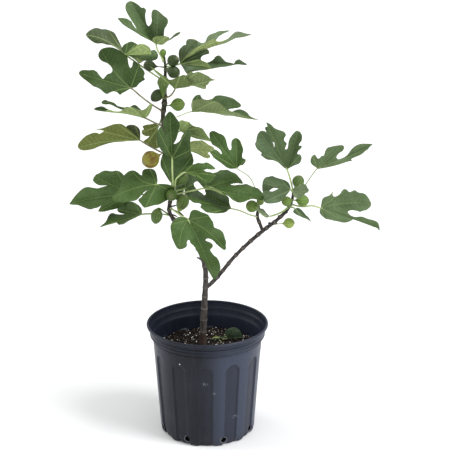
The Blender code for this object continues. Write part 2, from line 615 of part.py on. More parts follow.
def main():
    """Build the whole plant in its pot."""
    for old in list(bpy.data.objects):
        remove(old)
    parts = bpy.data.collections.new("potted_common_fig")
    cutters = bpy.data.collections.new("cutters")
    for collection in (parts, cutters):
        bpy.context.scene.collection.children.link(collection)

    stem_cutter = build_stem("stem_room", GAP / MM, cutters)
    as_cutter(stem_cutter)
    sprout_route = smooth_path([in_view(*spot) for spot in (*SPROUT.stalk, SPROUT.base)], 2)
    sprout_radii = [STALK_RADIUS + GAP / MM] * len(sprout_route)
    sprout_room = tube("sprout_room", sprout_route, sprout_radii, 1, cutters)
    as_cutter(sprout_room)

    build_pot(parts, cutters)
    build_soil(parts, stem_cutter, sprout_room)
    stem = build_stem("stem", 0.0, parts)
    stem.data.shade_smooth()
    stem.data.materials.append(new_material("bark", (0.16, 0.13, 0.11), 0.8))
    build_leaf(SPROUT, None, parts)
    for leaf in LEAVES:
        build_leaf(leaf, stem_cutter, parts)
    for fig in FIGS:
        build_fig(fig, stem_cutter, parts)


main()
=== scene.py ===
"""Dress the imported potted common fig: lobed leaves with raised veins, figs, bark, a moulded pot and soil.

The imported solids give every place.
"""
from __future__ import annotations

import logging
import math
import random
from dataclasses import dataclass
from enum import Enum
from functools import cache
from typing import Any, NamedTuple, Sequence

import bmesh
import bpy
from mathutils import Matrix, Vector, noise
from mathutils.kdtree import KDTree

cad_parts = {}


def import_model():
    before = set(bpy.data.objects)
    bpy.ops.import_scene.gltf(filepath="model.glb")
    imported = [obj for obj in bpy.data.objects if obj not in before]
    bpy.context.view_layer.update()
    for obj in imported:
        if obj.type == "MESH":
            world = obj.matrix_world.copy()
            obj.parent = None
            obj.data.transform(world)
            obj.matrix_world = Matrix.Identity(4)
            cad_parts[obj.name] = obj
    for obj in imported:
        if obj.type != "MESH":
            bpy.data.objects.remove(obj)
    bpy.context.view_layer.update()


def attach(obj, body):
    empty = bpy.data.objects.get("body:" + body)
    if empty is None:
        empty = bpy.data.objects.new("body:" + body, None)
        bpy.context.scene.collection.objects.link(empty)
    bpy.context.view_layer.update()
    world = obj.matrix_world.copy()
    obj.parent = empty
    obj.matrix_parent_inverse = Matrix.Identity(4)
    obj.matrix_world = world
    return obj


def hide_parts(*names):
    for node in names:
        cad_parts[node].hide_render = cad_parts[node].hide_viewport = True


LOG = logging.getLogger("potted_common_fig")
MM = 0.001
WELD = 1e-6
SLIVER = 0.0003
FULL_TURN = 2 * math.pi

# The eye that the plant's places are given from, in metres: to the right, before the pot's axis and up
EYE_ACROSS = 0.0362
EYE_BACK = 2.4
EYE_HEIGHT = 1.212

# One unit of a leaf's own maps, in metres
MAP_UNIT = 0.1

# How many ribs run down a fig
FIG_RIBS = 13

Colour = tuple[float, float, float]


def in_view(across: float, up: float, near: float) -> Vector:
    """Give the point that is seen at a place of the plane y = 0, but lies before or behind it.

    Args:
        across: Place to the right of the pot's axis, in mm.
        up: Height above the pot's foot, in mm.
        near: How far the point lies before the plane, in mm.

    Returns:
        The point in metres.
    """
    scale = (EYE_BACK - near * MM) / EYE_BACK
    x = EYE_ACROSS + (across * MM - EYE_ACROSS) * scale
    z = EYE_HEIGHT + (up * MM - EYE_HEIGHT) * scale
    return Vector((x, -near * MM, z))


def ease(value: float, low: float, high: float) -> float:
    """Rise smoothly from 0 at low to 1 at high."""
    part = min(max((value - low) / (high - low), 0.0), 1.0)
    return part * part * (3 - 2 * part)


def blend(one: float, two: float, part: float) -> float:
    """Give the value that lies a part of the way from one to two."""
    return one + (two - one) * part


def flow(points: Sequence[Vector], step: float) -> list[Vector]:
    """Draw a smooth open curve through points that may lie at uneven distances.

    Args:
        points: The points to pass, of any one dimension.
        step: About how far apart the curve's points lie.

    Returns:
        The curve's points, from the first point to the last.
    """
    ends = [points[0] * 2 - points[1], *points, points[-1] * 2 - points[-2]]
    path = []
    for p0, p1, p2, p3 in zip(ends, ends[1:], ends[2:], ends[3:]):
        g0, g1, g2 = (max(math.sqrt((b - a).length), WELD) for a, b in ((p0, p1), (p1, p2), (p2, p3)))
        leave = ((p1 - p0) / g0 - (p2 - p0) / (g0 + g1) + (p2 - p1) / g1) * g1
        arrive = ((p2 - p1) / g1 - (p3 - p1) / (g1 + g2) + (p3 - p2) / g2) * g1
        count = max(1, round((p2 - p1).length / step))
        for k in range(count):
            t = k / count
            path.append(p1 * (2 * t ** 3 - 3 * t ** 2 + 1) + leave * (t ** 3 - 2 * t ** 2 + t)
                        + p2 * (3 * t ** 2 - 2 * t ** 3) + arrive * (t ** 3 - t ** 2))
    path.append(points[-1].copy())
    return path


def sweep(bm: bmesh.types.BMesh, path: Sequence[Vector], radii: Sequence[float], sides: int,
          finish: int = 0) -> None:
    """Extrude a circle along a path into a closed round limb.

    Args:
        bm: The mesh that the limb goes into.
        path: The limb's middle line.
        radii: Its radius at each point of the path.
        sides: How many sides it has.
        finish: The material slot of its faces.
    """
    known = set(bm.faces)
    along = (path[1] - path[0]).normalized()
    place = Matrix.Translation(path[0]) @ along.to_track_quat("Z", "Y").to_matrix().to_4x4()
    ring = bmesh.ops.create_circle(bm, cap_ends=True, segments=sides, radius=radii[0], matrix=place)["verts"]
    edges = list({edge for vert in ring for edge in vert.link_edges})
    for i in range(1, len(path)):
        onward = (path[min(i + 1, len(path) - 1)] - path[i - 1]).normalized()
        turn = along.rotation_difference(onward).to_matrix().to_4x4()
        grown = bmesh.ops.extrude_edge_only(bm, edges=edges)["geom"]
        ring = [item for item in grown if isinstance(item, bmesh.types.BMVert)]
        edges = [item for item in grown if isinstance(item, bmesh.types.BMEdge)
                 and item.verts[0] in ring and item.verts[1] in ring]
        move = (Matrix.Translation(path[i]) @ turn @ Matrix.Scale(radii[i] / radii[i - 1], 4)
                @ Matrix.Translation(-path[i - 1]))
        bmesh.ops.transform(bm, matrix=move, verts=ring)
        along = onward
    bmesh.ops.contextual_create(bm, geom=edges)
    limb = [face for face in bm.faces if face not in known]
    bmesh.ops.recalc_face_normals(bm, faces=limb)
    for face in limb:
        face.material_index = finish
        face.smooth = True


def put(name: str, data: bpy.types.ID) -> bpy.types.Object:
    """Put a new object with its data into the scene."""
    made = bpy.data.objects.new(name, data)
    bpy.context.scene.collection.objects.link(made)
    return made


def put_mesh(name: str, bm: bmesh.types.BMesh) -> bpy.types.Object:
    """Put a bmesh, which is freed, into the scene as a new object."""
    mesh = bpy.data.meshes.new(name)
    bm.to_mesh(mesh)
    bm.free()
    return put(name, mesh)


def turn_outline(outline: Sequence[Sequence[float]], steps: int) -> bmesh.types.BMesh:
    """Spin a half outline of (radius, height) points round the z axis into a closed skin."""
    bm = bmesh.new()
    verts = [bm.verts.new((radius, 0.0, height)) for radius, height in outline]
    edges = [bm.edges.new(pair) for pair in zip(verts, verts[1:])]
    bmesh.ops.spin(bm, geom=verts + edges, cent=(0, 0, 0), axis=(0, 0, 1), angle=FULL_TURN, steps=steps,
                   use_merge=True)
    bmesh.ops.remove_doubles(bm, verts=bm.verts, dist=WELD)
    return bm


def cut_sheet(ring: list[Vector], grid: float) -> bmesh.types.BMesh:
    """Fill an outline with one face and cut it by a square grid.

    Args:
        ring: The outline, clockwise.
        grid: The distance between cuts.

    Returns:
        The flat sheet, facing +z.
    """
    bm = bmesh.new()
    bm.faces.new([bm.verts.new((*spot, 0.0)) for spot in reversed(ring)])
    for axis in (0, 1):
        low = min(spot[axis] for spot in ring)
        high = max(spot[axis] for spot in ring)
        across = Vector((1.0 - axis, float(axis), 0.0))
        for k in range(math.ceil(low / grid), math.floor(high / grid) + 1):
            bmesh.ops.bisect_plane(bm, geom=bm.verts[:] + bm.edges[:] + bm.faces[:], dist=WELD,
                                   plane_co=across * (k * grid), plane_no=across)
    bmesh.ops.remove_doubles(bm, verts=bm.verts, dist=SLIVER)
    bmesh.ops.triangulate(bm, faces=bm.faces[:])
    return bm


def add_piece(name: str, bm: bmesh.types.BMesh, finishes: Sequence[bpy.types.Material],
              nodes: Sequence[str] = ()) -> bpy.types.Object:
    """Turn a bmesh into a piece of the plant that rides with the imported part.

    Args:
        name: The piece's name.
        bm: Its mesh, which is freed.
        finishes: Its materials, in the order of its material slots.
        nodes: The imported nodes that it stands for.

    Returns:
        The new object.
    """
    piece = put_mesh(name, bm)
    for finish in finishes:
        piece.data.materials.append(finish)
    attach(piece, "root")
    if nodes:
        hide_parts(*nodes)
    LOG.info("%s: %d faces", name, len(piece.data.polygons))
    return piece


def as_left_by_modifiers(piece: bpy.types.Object) -> bpy.types.Mesh:
    """Give a new mesh of an object as its modifiers leave it."""
    graph = bpy.context.evaluated_depsgraph_get()
    return bpy.data.meshes.new_from_object(piece.evaluated_get(graph))


class Bench:
    """Places and wires the nodes of one tree."""

    def __init__(self, tree: bpy.types.NodeTree) -> None:
        """Start on a tree that may hold nodes already."""
        self.tree = tree

    def add(self, kind: str, **settings: Any) -> bpy.types.Node:
        """Add a node and set its properties."""
        node = self.tree.nodes.new(kind)
        for name, value in settings.items():
            setattr(node, name, value)
        return node

    def feed(self, node: bpy.types.Node, **values: Any) -> None:
        """Link a node's named inputs to sockets, or set them to plain values."""
        for name, value in values.items():
            self.plug(node.inputs[name.replace("_", " ")], value)

    def plug(self, socket: bpy.types.NodeSocket, value: Any) -> None:
        """Link a socket to another, or set it to a plain value."""
        if isinstance(value, bpy.types.NodeSocket):
            self.tree.links.new(value, socket)
        else:
            socket.default_value = value

    def maths(self, operation: str, *values: Any, clamp: bool = False) -> bpy.types.NodeSocket:
        """Work out one number from others, which are sockets or plain values."""
        node = self.add("ShaderNodeMath", operation=operation, use_clamp=clamp)
        for socket, value in zip(node.inputs, values):
            self.plug(socket, value)
        return node.outputs[0]

    def plus(self, one: Any, two: Any) -> bpy.types.NodeSocket:
        """Add two numbers."""
        return self.maths("ADD", one, two)

    def times(self, one: Any, two: Any) -> bpy.types.NodeSocket:
        """Multiply two numbers."""
        return self.maths("MULTIPLY", one, two)

    def fade(self, value: Any, low: Any, high: Any, start: float = 0.0,
             end: float = 1.0) -> bpy.types.NodeSocket:
        """Run smoothly from start, where value is low, to end, where it is high."""
        node = self.add("ShaderNodeMapRange", interpolation_type="SMOOTHSTEP")
        self.feed(node, Value=value, From_Min=low, From_Max=high, To_Min=start, To_Max=end)
        return node.outputs["Result"]

    def mix(self, part: Any, one: Any, two: Any) -> bpy.types.NodeSocket:
        """Mix two colours, which are sockets or plain colours."""
        node = self.add("ShaderNodeMix", data_type="RGBA")
        self.plug(node.inputs["Factor"], part)
        for name, given in (("A", one), ("B", two)):
            socket = next(item for item in node.inputs if item.name == name and item.type == "RGBA")
            self.plug(socket, given if isinstance(given, bpy.types.NodeSocket) else (*given, 1.0))
        return next(item for item in node.outputs if item.type == "RGBA")

    def noise(self, where: Any, scale: float, detail: float = 3.0,
              rough: float = 0.5) -> bpy.types.NodeSocket:
        """Give a cloudy value round 0.5."""
        node = self.add("ShaderNodeTexNoise")
        self.feed(node, Vector=where, Scale=scale, Detail=detail, Roughness=rough)
        return node.outputs["Fac"]

    def place(self, map_name: str = "", scale: Sequence[float] = (1.0, 1.0, 1.0)) -> bpy.types.NodeSocket:
        """Give a place on the piece, from one of its own maps or else in the object, stretched by a scale."""
        if map_name:
            source = self.add("ShaderNodeUVMap", uv_map=map_name).outputs["UV"]
        else:
            source = self.add("ShaderNodeTexCoord").outputs["Object"]
        node = self.add("ShaderNodeMapping")
        self.feed(node, Vector=source, Scale=scale)
        return node.outputs["Vector"]

    def painted(self, layer: str) -> bpy.types.NodeSocket:
        """Give the colour that is painted on the piece's points."""
        return self.add("ShaderNodeVertexColor", layer_name=layer).outputs["Color"]

    def split(self, vector: Any, kind: str = "XYZ") -> bpy.types.bpy_prop_collection:
        """Give a vector's or a colour's single numbers by name."""
        node = self.add("ShaderNodeSeparate" + kind)
        self.plug(node.inputs[0], vector)
        return node.outputs

    def group(self, tree: bpy.types.NodeTree, **values: Any) -> dict[str, bpy.types.NodeSocket]:
        """Place a node group, feed the inputs that are named, and give its outputs by name."""
        node = self.add("ShaderNodeGroup", node_tree=tree)
        self.feed(node, **{name.capitalize(): value for name, value in values.items()})
        return {socket.name: socket for socket in node.outputs}

    def bump(self, height: Any, depth: float, strength: float) -> bpy.types.NodeSocket:
        """Give a normal that a height in whole depths raises."""
        node = self.add("ShaderNodeBump")
        self.feed(node, Distance=depth, Strength=strength, Height=height)
        return node.outputs["Normal"]

    def shader(self) -> bpy.types.Node:
        """Give the tree's own shader."""
        return self.tree.nodes["Principled BSDF"]

    def coat(self, colour: Any, roughness: Any, normal: Any, shine: float = 0.5) -> None:
        """Feed the tree's own shader its colour, roughness and normal, and set how much it mirrors."""
        self.feed(self.shader(), Base_Color=colour, Roughness=roughness, Normal=normal,
                  Specular_IOR_Level=shine)


def new_group(name: str, inputs: Sequence[tuple[str, str, float]],
              outputs: Sequence[str]) -> tuple[Bench, Any, bpy.types.Node]:
    """Start a shader node group with named sockets.

    Args:
        name: The group's name.
        inputs: Each input's name, its kind and, for a number, its usual value.
        outputs: The name of each output, which is a number from 0 to 1.

    Returns:
        The bench on its tree, the group's inputs by name, and the node that takes its outputs.
    """
    tree = bpy.data.node_groups.new(name, "ShaderNodeTree")
    for label, kind, usual in inputs:
        socket = tree.interface.new_socket(name=label, in_out="INPUT", socket_type="NodeSocket" + kind)
        if kind == "Float":
            socket.default_value = usual
    for label in outputs:
        tree.interface.new_socket(name=label, in_out="OUTPUT", socket_type="NodeSocketFloat")
    bench = Bench(tree)
    return bench, bench.add("NodeGroupInput").outputs, bench.add("NodeGroupOutput")


def vein_group() -> bpy.types.NodeTree:
    """Build the group that draws a blade's main vein, side veins and fine net."""
    bench, given, made = new_group(
        "leaf_veins",
        (("Along", "Float", 0.0), ("Aside", "Float", 0.0), ("Flat", "Vector", 0.0), ("Spacing", "Float", 0.1),
         ("Width", "Float", 0.012)),
        ("Main", "Side", "Net", "Quilt"))
    away = bench.maths("ABSOLUTE", given["Aside"])
    width = bench.times(given["Width"], bench.fade(given["Along"], 0.0, 1.3, 1.0, 0.35))
    main = bench.fade(away, bench.times(width, 0.45), bench.times(width, 1.9), 1.0, 0.0)
    drift = bench.times(bench.maths("SUBTRACT", bench.noise(given["Flat"], 5.0, 1.0), 0.5), 0.09)
    run = bench.plus(bench.maths("SUBTRACT", given["Along"], bench.times(away, 0.72)), drift)
    phase = bench.maths("FRACT", bench.maths("DIVIDE", run, given["Spacing"]))
    off = bench.maths("ABSOLUTE", bench.maths("SUBTRACT", phase, 0.5))
    near = bench.times(bench.maths("SUBTRACT", 0.5, off), given["Spacing"])
    side = bench.times(bench.fade(near, 0.0012, 0.0085, 1.0, 0.0), bench.fade(away, 0.06, 0.34, 1.0, 0.25))
    cells = bench.add("ShaderNodeTexVoronoi", feature="DISTANCE_TO_EDGE")
    bench.feed(cells, Vector=given["Flat"], Scale=34.0)
    net = bench.fade(cells.outputs["Distance"], 0.0, 0.12, 1.0, 0.0)
    quilt = bench.times(bench.fade(near, 0.0, 0.04), bench.fade(away, 0.0, 0.04))
    bench.feed(made, Main=main, Side=side, Net=net, Quilt=quilt)
    return bench.tree


def mottle_group() -> bpy.types.NodeTree:
    """Build the group that gives broad cloudy patches and fine specks."""
    bench, given, made = new_group(
        "mottle", (("Where", "Vector", 0.0), ("Size", "Float", 1.0), ("Speck amount", "Float", 0.5)),
        ("Patch", "Speck", "Grain"))
    node = bench.add("ShaderNodeVectorMath", operation="SCALE")
    bench.feed(node, Vector=given["Where"], Scale=given["Size"])
    where = node.outputs[0]
    fine = bench.noise(where, 9.0, 2.0, 0.6)
    edge = bench.maths("SUBTRACT", 0.78, bench.times(given["Speck amount"], 0.3))
    bench.feed(made, Patch=bench.fade(bench.noise(where, 1.0, 3.0, 0.55), 0.3, 0.7),
               Speck=bench.fade(fine, edge, bench.plus(edge, 0.06)), Grain=fine)
    return bench.tree


def dust_group() -> bpy.types.NodeTree:
    """Build the group that lays dust on what faces up and low down, in streaks and patches."""
    bench, given, made = new_group(
        "settled_dust", (("Where", "Vector", 0.0), ("Amount", "Float", 0.5), ("Low", "Float", 0.0),
                         ("High", "Float", 0.1)), ("Dust",))
    facing = bench.split(bench.add("ShaderNodeNewGeometry").outputs["Normal"])
    height = bench.split(bench.add("ShaderNodeTexCoord").outputs["Object"])
    ledge = bench.fade(facing["Z"], 0.2, 0.95)
    splash = bench.fade(height["Z"], given["Low"], given["High"], 1.0, 0.0)
    cloud = bench.noise(given["Where"], 34.0, 5.0, 0.65)
    worn = bench.times(bench.plus(ledge, splash), bench.fade(cloud, 0.38, 0.66))
    bench.feed(made, Dust=bench.maths("MULTIPLY", worn, given["Amount"], clamp=True))
    return bench.tree


@dataclass(frozen=True)
class LeafTone:
    """The colours of one kind of leaf, as linear red, green and blue."""

    upper: Colour
    shade: Colour
    under: Colour
    vein: Colour


class Tone(Enum):
    """The kinds of leaf on the plant."""

    CROWN = LeafTone((0.101, 0.158, 0.065), (0.066, 0.113, 0.038), (0.200, 0.250, 0.115),
                     (0.190, 0.255, 0.105))
    DEEP = LeafTone((0.041, 0.082, 0.017), (0.025, 0.057, 0.011), (0.150, 0.205, 0.070),
                    (0.160, 0.240, 0.065))
    FRESH = LeafTone((0.062, 0.120, 0.026), (0.041, 0.086, 0.016), (0.165, 0.225, 0.075),
                     (0.180, 0.265, 0.078))
    GREYED = LeafTone((0.082, 0.130, 0.056), (0.055, 0.094, 0.034), (0.205, 0.262, 0.108),
                      (0.190, 0.250, 0.120))
    SILVER = LeafTone((0.165, 0.225, 0.112), (0.108, 0.162, 0.070), (0.260, 0.345, 0.118),
                      (0.290, 0.350, 0.190))
    PALE = LeafTone((0.056, 0.085, 0.028), (0.038, 0.062, 0.018), (0.275, 0.355, 0.135),
                    (0.290, 0.350, 0.150))
    BLANCHED = LeafTone((0.110, 0.160, 0.055), (0.075, 0.120, 0.035), (0.410, 0.490, 0.200),
                        (0.470, 0.560, 0.260))
    OLIVE = LeafTone((0.046, 0.067, 0.017), (0.030, 0.045, 0.011), (0.160, 0.200, 0.052),
                     (0.260, 0.300, 0.095))
    SEEDLING = LeafTone((0.046, 0.074, 0.040), (0.030, 0.054, 0.027), (0.060, 0.095, 0.040),
                        (0.065, 0.100, 0.052))


class Rind(Enum):
    """The colours of a leaf's stalk and raised veins, where they are pale and where they are dull."""

    GREEN = ((0.330, 0.450, 0.150), (0.210, 0.300, 0.095))
    PALE = ((0.540, 0.640, 0.280), (0.380, 0.490, 0.180))
    BROWN = ((0.240, 0.220, 0.110), (0.120, 0.100, 0.060))
    YOUNG = ((0.110, 0.170, 0.080), (0.070, 0.115, 0.050))


class Skin(NamedTuple):
    """A fig's colours, as linear red, green and blue: its sides, its ribs, its neck and its blush."""

    side: Colour
    rib: Colour
    neck: Colour
    blush: Colour
    blush_amount: float


class Ripeness(Enum):
    """How far a fig has come, with one darkest green skin that is painted shade, for figs that hang in shade.
    """

    # The darkest green skin is no stage of ripening but painted shade, for figs that hang in shade.
    DARK = Skin((0.030, 0.052, 0.014), (0.052, 0.086, 0.022), (0.08, 0.12, 0.035), (0.045, 0.042, 0.02), 0.15)
    GREEN = Skin((0.075, 0.135, 0.030), (0.130, 0.205, 0.050), (0.16, 0.24, 0.065),
                 (0.085, 0.080, 0.030), 0.15)
    TURNING = Skin((0.078, 0.140, 0.026), (0.125, 0.200, 0.045), (0.32, 0.43, 0.08),
                   (0.150, 0.110, 0.040), 0.45)
    BRIGHT = Skin((0.126, 0.222, 0.040), (0.200, 0.320, 0.064), (0.18, 0.26, 0.065),
                  (0.110, 0.110, 0.03), 0.25)
    YELLOW = Skin((0.250, 0.370, 0.075), (0.385, 0.490, 0.120), (0.23, 0.28, 0.085),
                  (0.190, 0.190, 0.04), 0.15)
    RIPE = Skin((0.235, 0.215, 0.032), (0.325, 0.290, 0.048), (0.16, 0.19, 0.04), (0.165, 0.068, 0.017), 0.70)


class Finishes:
    """Makes the materials, and each leaf's, stalk's and fig's once for the pieces that share it."""

    # Where the pot's wall is scraped, as (across, height), and how far each scrape reaches, in metres
    scrapes = (((-0.004, 0.1435), 0.0050), ((0.0145, 0.123), 0.0035), ((0.057, 0.062), 0.0055))

    def __init__(self) -> None:
        """Build the shared node groups."""
        self.veins = vein_group()
        self.mottle = mottle_group()
        self.dust = dust_group()

    def start(self, name: str) -> tuple[bpy.types.Material, Bench]:
        """Make an empty material and give it with the bench on its tree."""
        material = bpy.data.materials.new(name)
        material.use_nodes = True
        return material, Bench(material.node_tree)

    @cache
    def blade(self, tone: Tone, upper: bool) -> bpy.types.Material:
        """Give the finish of one side of a leaf: veins, fine net, mottling and quilting, with painted sheen
        and painted shade.

        Args:
            tone: The kind of leaf.
            upper: Whether this is its upper side.

        Returns:
            The material.
        """
        material, bench = self.start(f"leaf_{tone.name.lower()}_{'upper' if upper else 'under'}")
        look = tone.value
        where = bench.place()
        cut = bench.split(bench.place("vein"))
        veins = bench.group(self.veins, along=cut["X"], aside=cut["Y"], flat=bench.place("flat"),
                            spacing=0.088, width=0.0075 if upper else 0.012)
        cloud = bench.group(self.mottle, where=where, size=38.0, speck_amount=0.35)
        # The patches follow a random cloud and the relief: painted shade darkens the upper side's grooves
        # along the veins and the underside's hollows between them.
        patch = bench.plus(bench.times(cloud["Patch"], 0.75), bench.times(veins["Quilt"], 0.25))
        if upper:
            # Painted sheen: broad lighter patches on the upper side stand in for the light that it mirrors.
            painted_sheen = bench.fade(bench.noise(where, 21.0, 3.0, 0.6), 0.44, 0.72, 0.0, 0.55)
            body = bench.mix(patch, look.shade, look.upper)
            body = bench.mix(painted_sheen, body, tuple(1.35 * part + 0.035 for part in look.upper))
            pale = look.vein
        else:
            body = bench.mix(bench.times(patch, 0.9), look.under, tuple(0.66 * part for part in look.under))
            pale = tuple(max(vein, 1.5 * part) for vein, part in zip(look.vein, look.under))
        side = bench.times(veins["Side"], 0.34 if upper else 0.85)
        net = bench.times(veins["Net"], 0.10 if upper else 0.22)
        main = bench.times(veins["Main"], 0.8 if upper else 1.0)
        lines = bench.maths("MAXIMUM", bench.maths("MAXIMUM", main, side), net)
        gloss = bench.fade(cloud["Grain"], 0.35, 0.65, *((0.46, 0.58) if upper else (0.62, 0.74)))
        sign = -1.0 if upper else 1.4
        ridge = bench.plus(bench.times(veins["Main"], sign), bench.times(veins["Side"], 0.7 * sign))
        swell = bench.plus(bench.times(veins["Quilt"], 0.6), bench.times(veins["Net"], 0.22 * sign))
        height = bench.plus(bench.plus(ridge, swell), bench.times(cloud["Grain"], 0.3))
        bench.coat(bench.mix(lines, body, pale), gloss, bench.bump(height, 0.00045, 0.8),
                   0.22 if upper else 0.1)
        return material

    @cache
    def stalk(self, rind: Rind) -> bpy.types.Material:
        """Give the finish of a leaf's stalk, in patches of its two colours, browner where it is old."""
        material, bench = self.start(f"stalk_{rind.name.lower()}")
        cloud = bench.group(self.mottle, where=bench.place(), size=90.0, speck_amount=0.5)
        body = bench.mix(bench.times(cloud["Patch"], 0.7), *rind.value)
        body = bench.mix(bench.times(cloud["Speck"], 0.5), body, (0.16, 0.10, 0.05))
        bench.coat(body, 0.5, bench.bump(cloud["Grain"], 0.0002, 0.5))
        return material

    @cache
    def fig(self, ripeness: Ripeness) -> bpy.types.Material:
        """Give a fig's skin: ribs, pale freckles, a paler neck and a blush.

        Args:
            ripeness: How far the fig has come.

        Returns:
            The material.
        """
        material, bench = self.start(f"fig_{ripeness.name.lower()}")
        look = ripeness.value
        cut = bench.split(bench.place("skin"))
        where = bench.place()
        cloud = bench.group(self.mottle, where=where, size=95.0, speck_amount=0.55)
        wave = bench.maths("SINE", bench.times(cut["X"], FULL_TURN * FIG_RIBS))
        rib = bench.fade(bench.plus(wave, bench.times(cloud["Patch"], 0.8)), -0.2, 1.6)
        body = bench.mix(rib, look.side, look.rib)
        body = bench.mix(bench.fade(cut["Y"], 0.42, 0.12), body, look.neck)
        blush = bench.times(bench.fade(bench.noise(where, 60.0, 3.0, 0.6), 0.44, 0.6),
                            bench.fade(cut["Y"], 0.3, 0.75, 0.0, look.blush_amount))
        body = bench.mix(blush, body, look.blush)
        body = bench.mix(bench.times(cloud["Speck"], 0.35), body, (0.24, 0.28, 0.12))
        body = bench.mix(bench.fade(cut["Y"], 0.985, 0.996, 0.0, 0.7), body, (0.20, 0.21, 0.10))
        height = bench.plus(bench.times(wave, 0.25), cloud["Grain"])
        gloss = bench.fade(cloud["Grain"], 0.3, 0.7, 0.38, 0.55)
        bench.coat(body, gloss, bench.bump(height, 0.0004, 0.6), 0.3)
        return material

    def bark(self) -> bpy.types.Material:
        """Give the bark: smooth grey-brown above, rough and pinkish at the foot, with pale ring scars."""
        material, bench = self.start("bark")
        where = bench.place()
        spot = bench.split(where)
        cloud = bench.group(self.mottle, where=where, size=60.0, speck_amount=0.7)
        streak = bench.noise(bench.place("", (1.0, 1.0, 0.16)), 420.0, 4.0, 0.65)
        old = bench.mix(bench.fade(streak, 0.34, 0.66), (0.030, 0.025, 0.025), (0.112, 0.098, 0.090))
        foot = bench.mix(cloud["Patch"], (0.040, 0.024, 0.020), (0.105, 0.064, 0.052))
        young = bench.mix(cloud["Patch"], (0.026, 0.027, 0.018), (0.062, 0.065, 0.034))
        body = bench.mix(bench.fade(spot["Z"], 0.205, 0.222), foot, old)
        body = bench.mix(bench.fade(spot["Z"], 0.60, 0.69), body, young)
        body = bench.mix(bench.fade(spot["X"], 0.05, 0.14, 0.0, 0.45), body, (0.020, 0.017, 0.017))
        body = bench.mix(bench.times(cloud["Speck"], 0.5), body, (0.13, 0.115, 0.10))
        body = bench.mix(bench.painted("scar"), body, (0.22, 0.19, 0.16))
        rough = bench.plus(bench.times(streak, 0.8), cloud["Grain"])
        gloss = bench.fade(cloud["Grain"], 0.3, 0.7, 0.62, 0.85)
        bench.coat(body, gloss, bench.bump(rough, 0.0006, 0.8), 0.2)
        return material

    def pot(self) -> bpy.types.Material:
        """Give the pot's moulded plastic: drawn streaks, scuffs, dust on its ledges and soil splash, with
        painted light on its sides and painted shade on its flutes and inside.
        """
        material, bench = self.start("pot_plastic")
        where = bench.place()
        cloud = bench.group(self.mottle, where=where, size=14.0, speck_amount=0.3)
        fine = bench.group(self.mottle, where=where, size=160.0, speck_amount=0.12)
        drawn = bench.noise(bench.place("", (1.0, 1.0, 0.06)), 90.0, 4.0, 0.6)
        scratch = bench.noise(bench.place("", (1.0, 1.0, 0.035)), 520.0, 2.0, 0.5)
        dust = bench.group(self.dust, where=where, amount=0.5, low=0.004, high=0.035)["Dust"]
        side = bench.split(where)
        recess_shade = bench.split(bench.painted("painted_recess_shade"), "Color")
        # Painted light: the wall is painted lighter towards its right side and at its far left, less so deep
        # in the flutes.
        painted_side_light = bench.plus(bench.fade(side["X"], -0.020, 0.042, 0.0, 0.85),
                           bench.fade(side["X"], -0.070, -0.100, 0.0, 0.35))
        painted_light_mask = bench.times(painted_side_light, bench.fade(recess_shade["Red"], 0.0, 1.0, 1.0, 0.45))
        body = bench.mix(cloud["Patch"], (0.009, 0.010, 0.015), (0.015, 0.016, 0.025))
        body = bench.mix(painted_light_mask, body, (0.052, 0.063, 0.098))
        body = bench.mix(bench.fade(side["Z"], 0.206, 0.212, 0.0, 0.45), body, (0.011, 0.016, 0.027))
        # Painted shade: darker on the flutes' sloping walls.
        body = bench.mix(bench.fade(recess_shade["Green"], 0.2, 0.9, 0.0, 0.6), body, (0.007, 0.007, 0.012))
        # Painted shade: darker on the inside of the wall.
        body = bench.mix(bench.times(recess_shade["Blue"], 0.6), body, (0.009, 0.013, 0.024))
        body = bench.mix(bench.fade(drawn, 0.45, 0.75, 0.0, 0.28), body, (0.034, 0.040, 0.060))
        line = bench.times(bench.fade(scratch, 0.70, 0.76), bench.fade(cloud["Grain"], 0.5, 0.62))
        scuff = bench.times(bench.maths("ADD", line, fine["Speck"], clamp=True), 0.35)
        for (across, height), reach in self.scrapes:
            away = bench.add("ShaderNodeVectorMath", operation="DISTANCE")
            bench.plug(away.inputs[0], bench.place("", (0.6, 0.0, 1.0)))
            bench.plug(away.inputs[1], (0.6 * across, 0.0, height))
            mark = bench.times(bench.fade(away.outputs["Value"], 0.4 * reach, reach, 0.8, 0.0),
                               bench.fade(bench.noise(where, 420.0, 2.0, 0.6), 0.5, 0.56))
            scuff = bench.maths("MAXIMUM", scuff, mark)
        body = bench.mix(scuff, body, (0.17, 0.18, 0.20))
        body = bench.mix(bench.times(dust, 0.4), body, (0.085, 0.078, 0.072))
        skin = bench.plus(bench.times(fine["Grain"], 0.35), bench.times(drawn, 0.65))
        bench.coat(body, bench.fade(bench.maths("MAXIMUM", scuff, dust), 0.0, 0.6, 0.36, 0.78),
                   bench.bump(skin, 0.00035, 0.5), 0.2)
        return material

    def soil(self) -> bpy.types.Material:
        """Give the potting mix: near-black peat with brown fibre and pale dust."""
        material, bench = self.start("soil_mix")
        where = bench.place()
        coarse = bench.group(self.mottle, where=where, size=130.0, speck_amount=0.6)
        fine = bench.group(self.mottle, where=where, size=420.0, speck_amount=0.45)
        body = bench.mix(coarse["Patch"], (0.006, 0.005, 0.005), (0.020, 0.015, 0.012))
        body = bench.mix(bench.times(coarse["Speck"], 0.6), body, (0.050, 0.034, 0.024))
        body = bench.mix(bench.times(fine["Speck"], 0.4), body, (0.12, 0.105, 0.085))
        height = bench.plus(coarse["Grain"], bench.times(fine["Grain"], 0.5))
        bench.coat(body, 0.95, bench.bump(height, 0.0016, 1.0), 0.1)
        return material

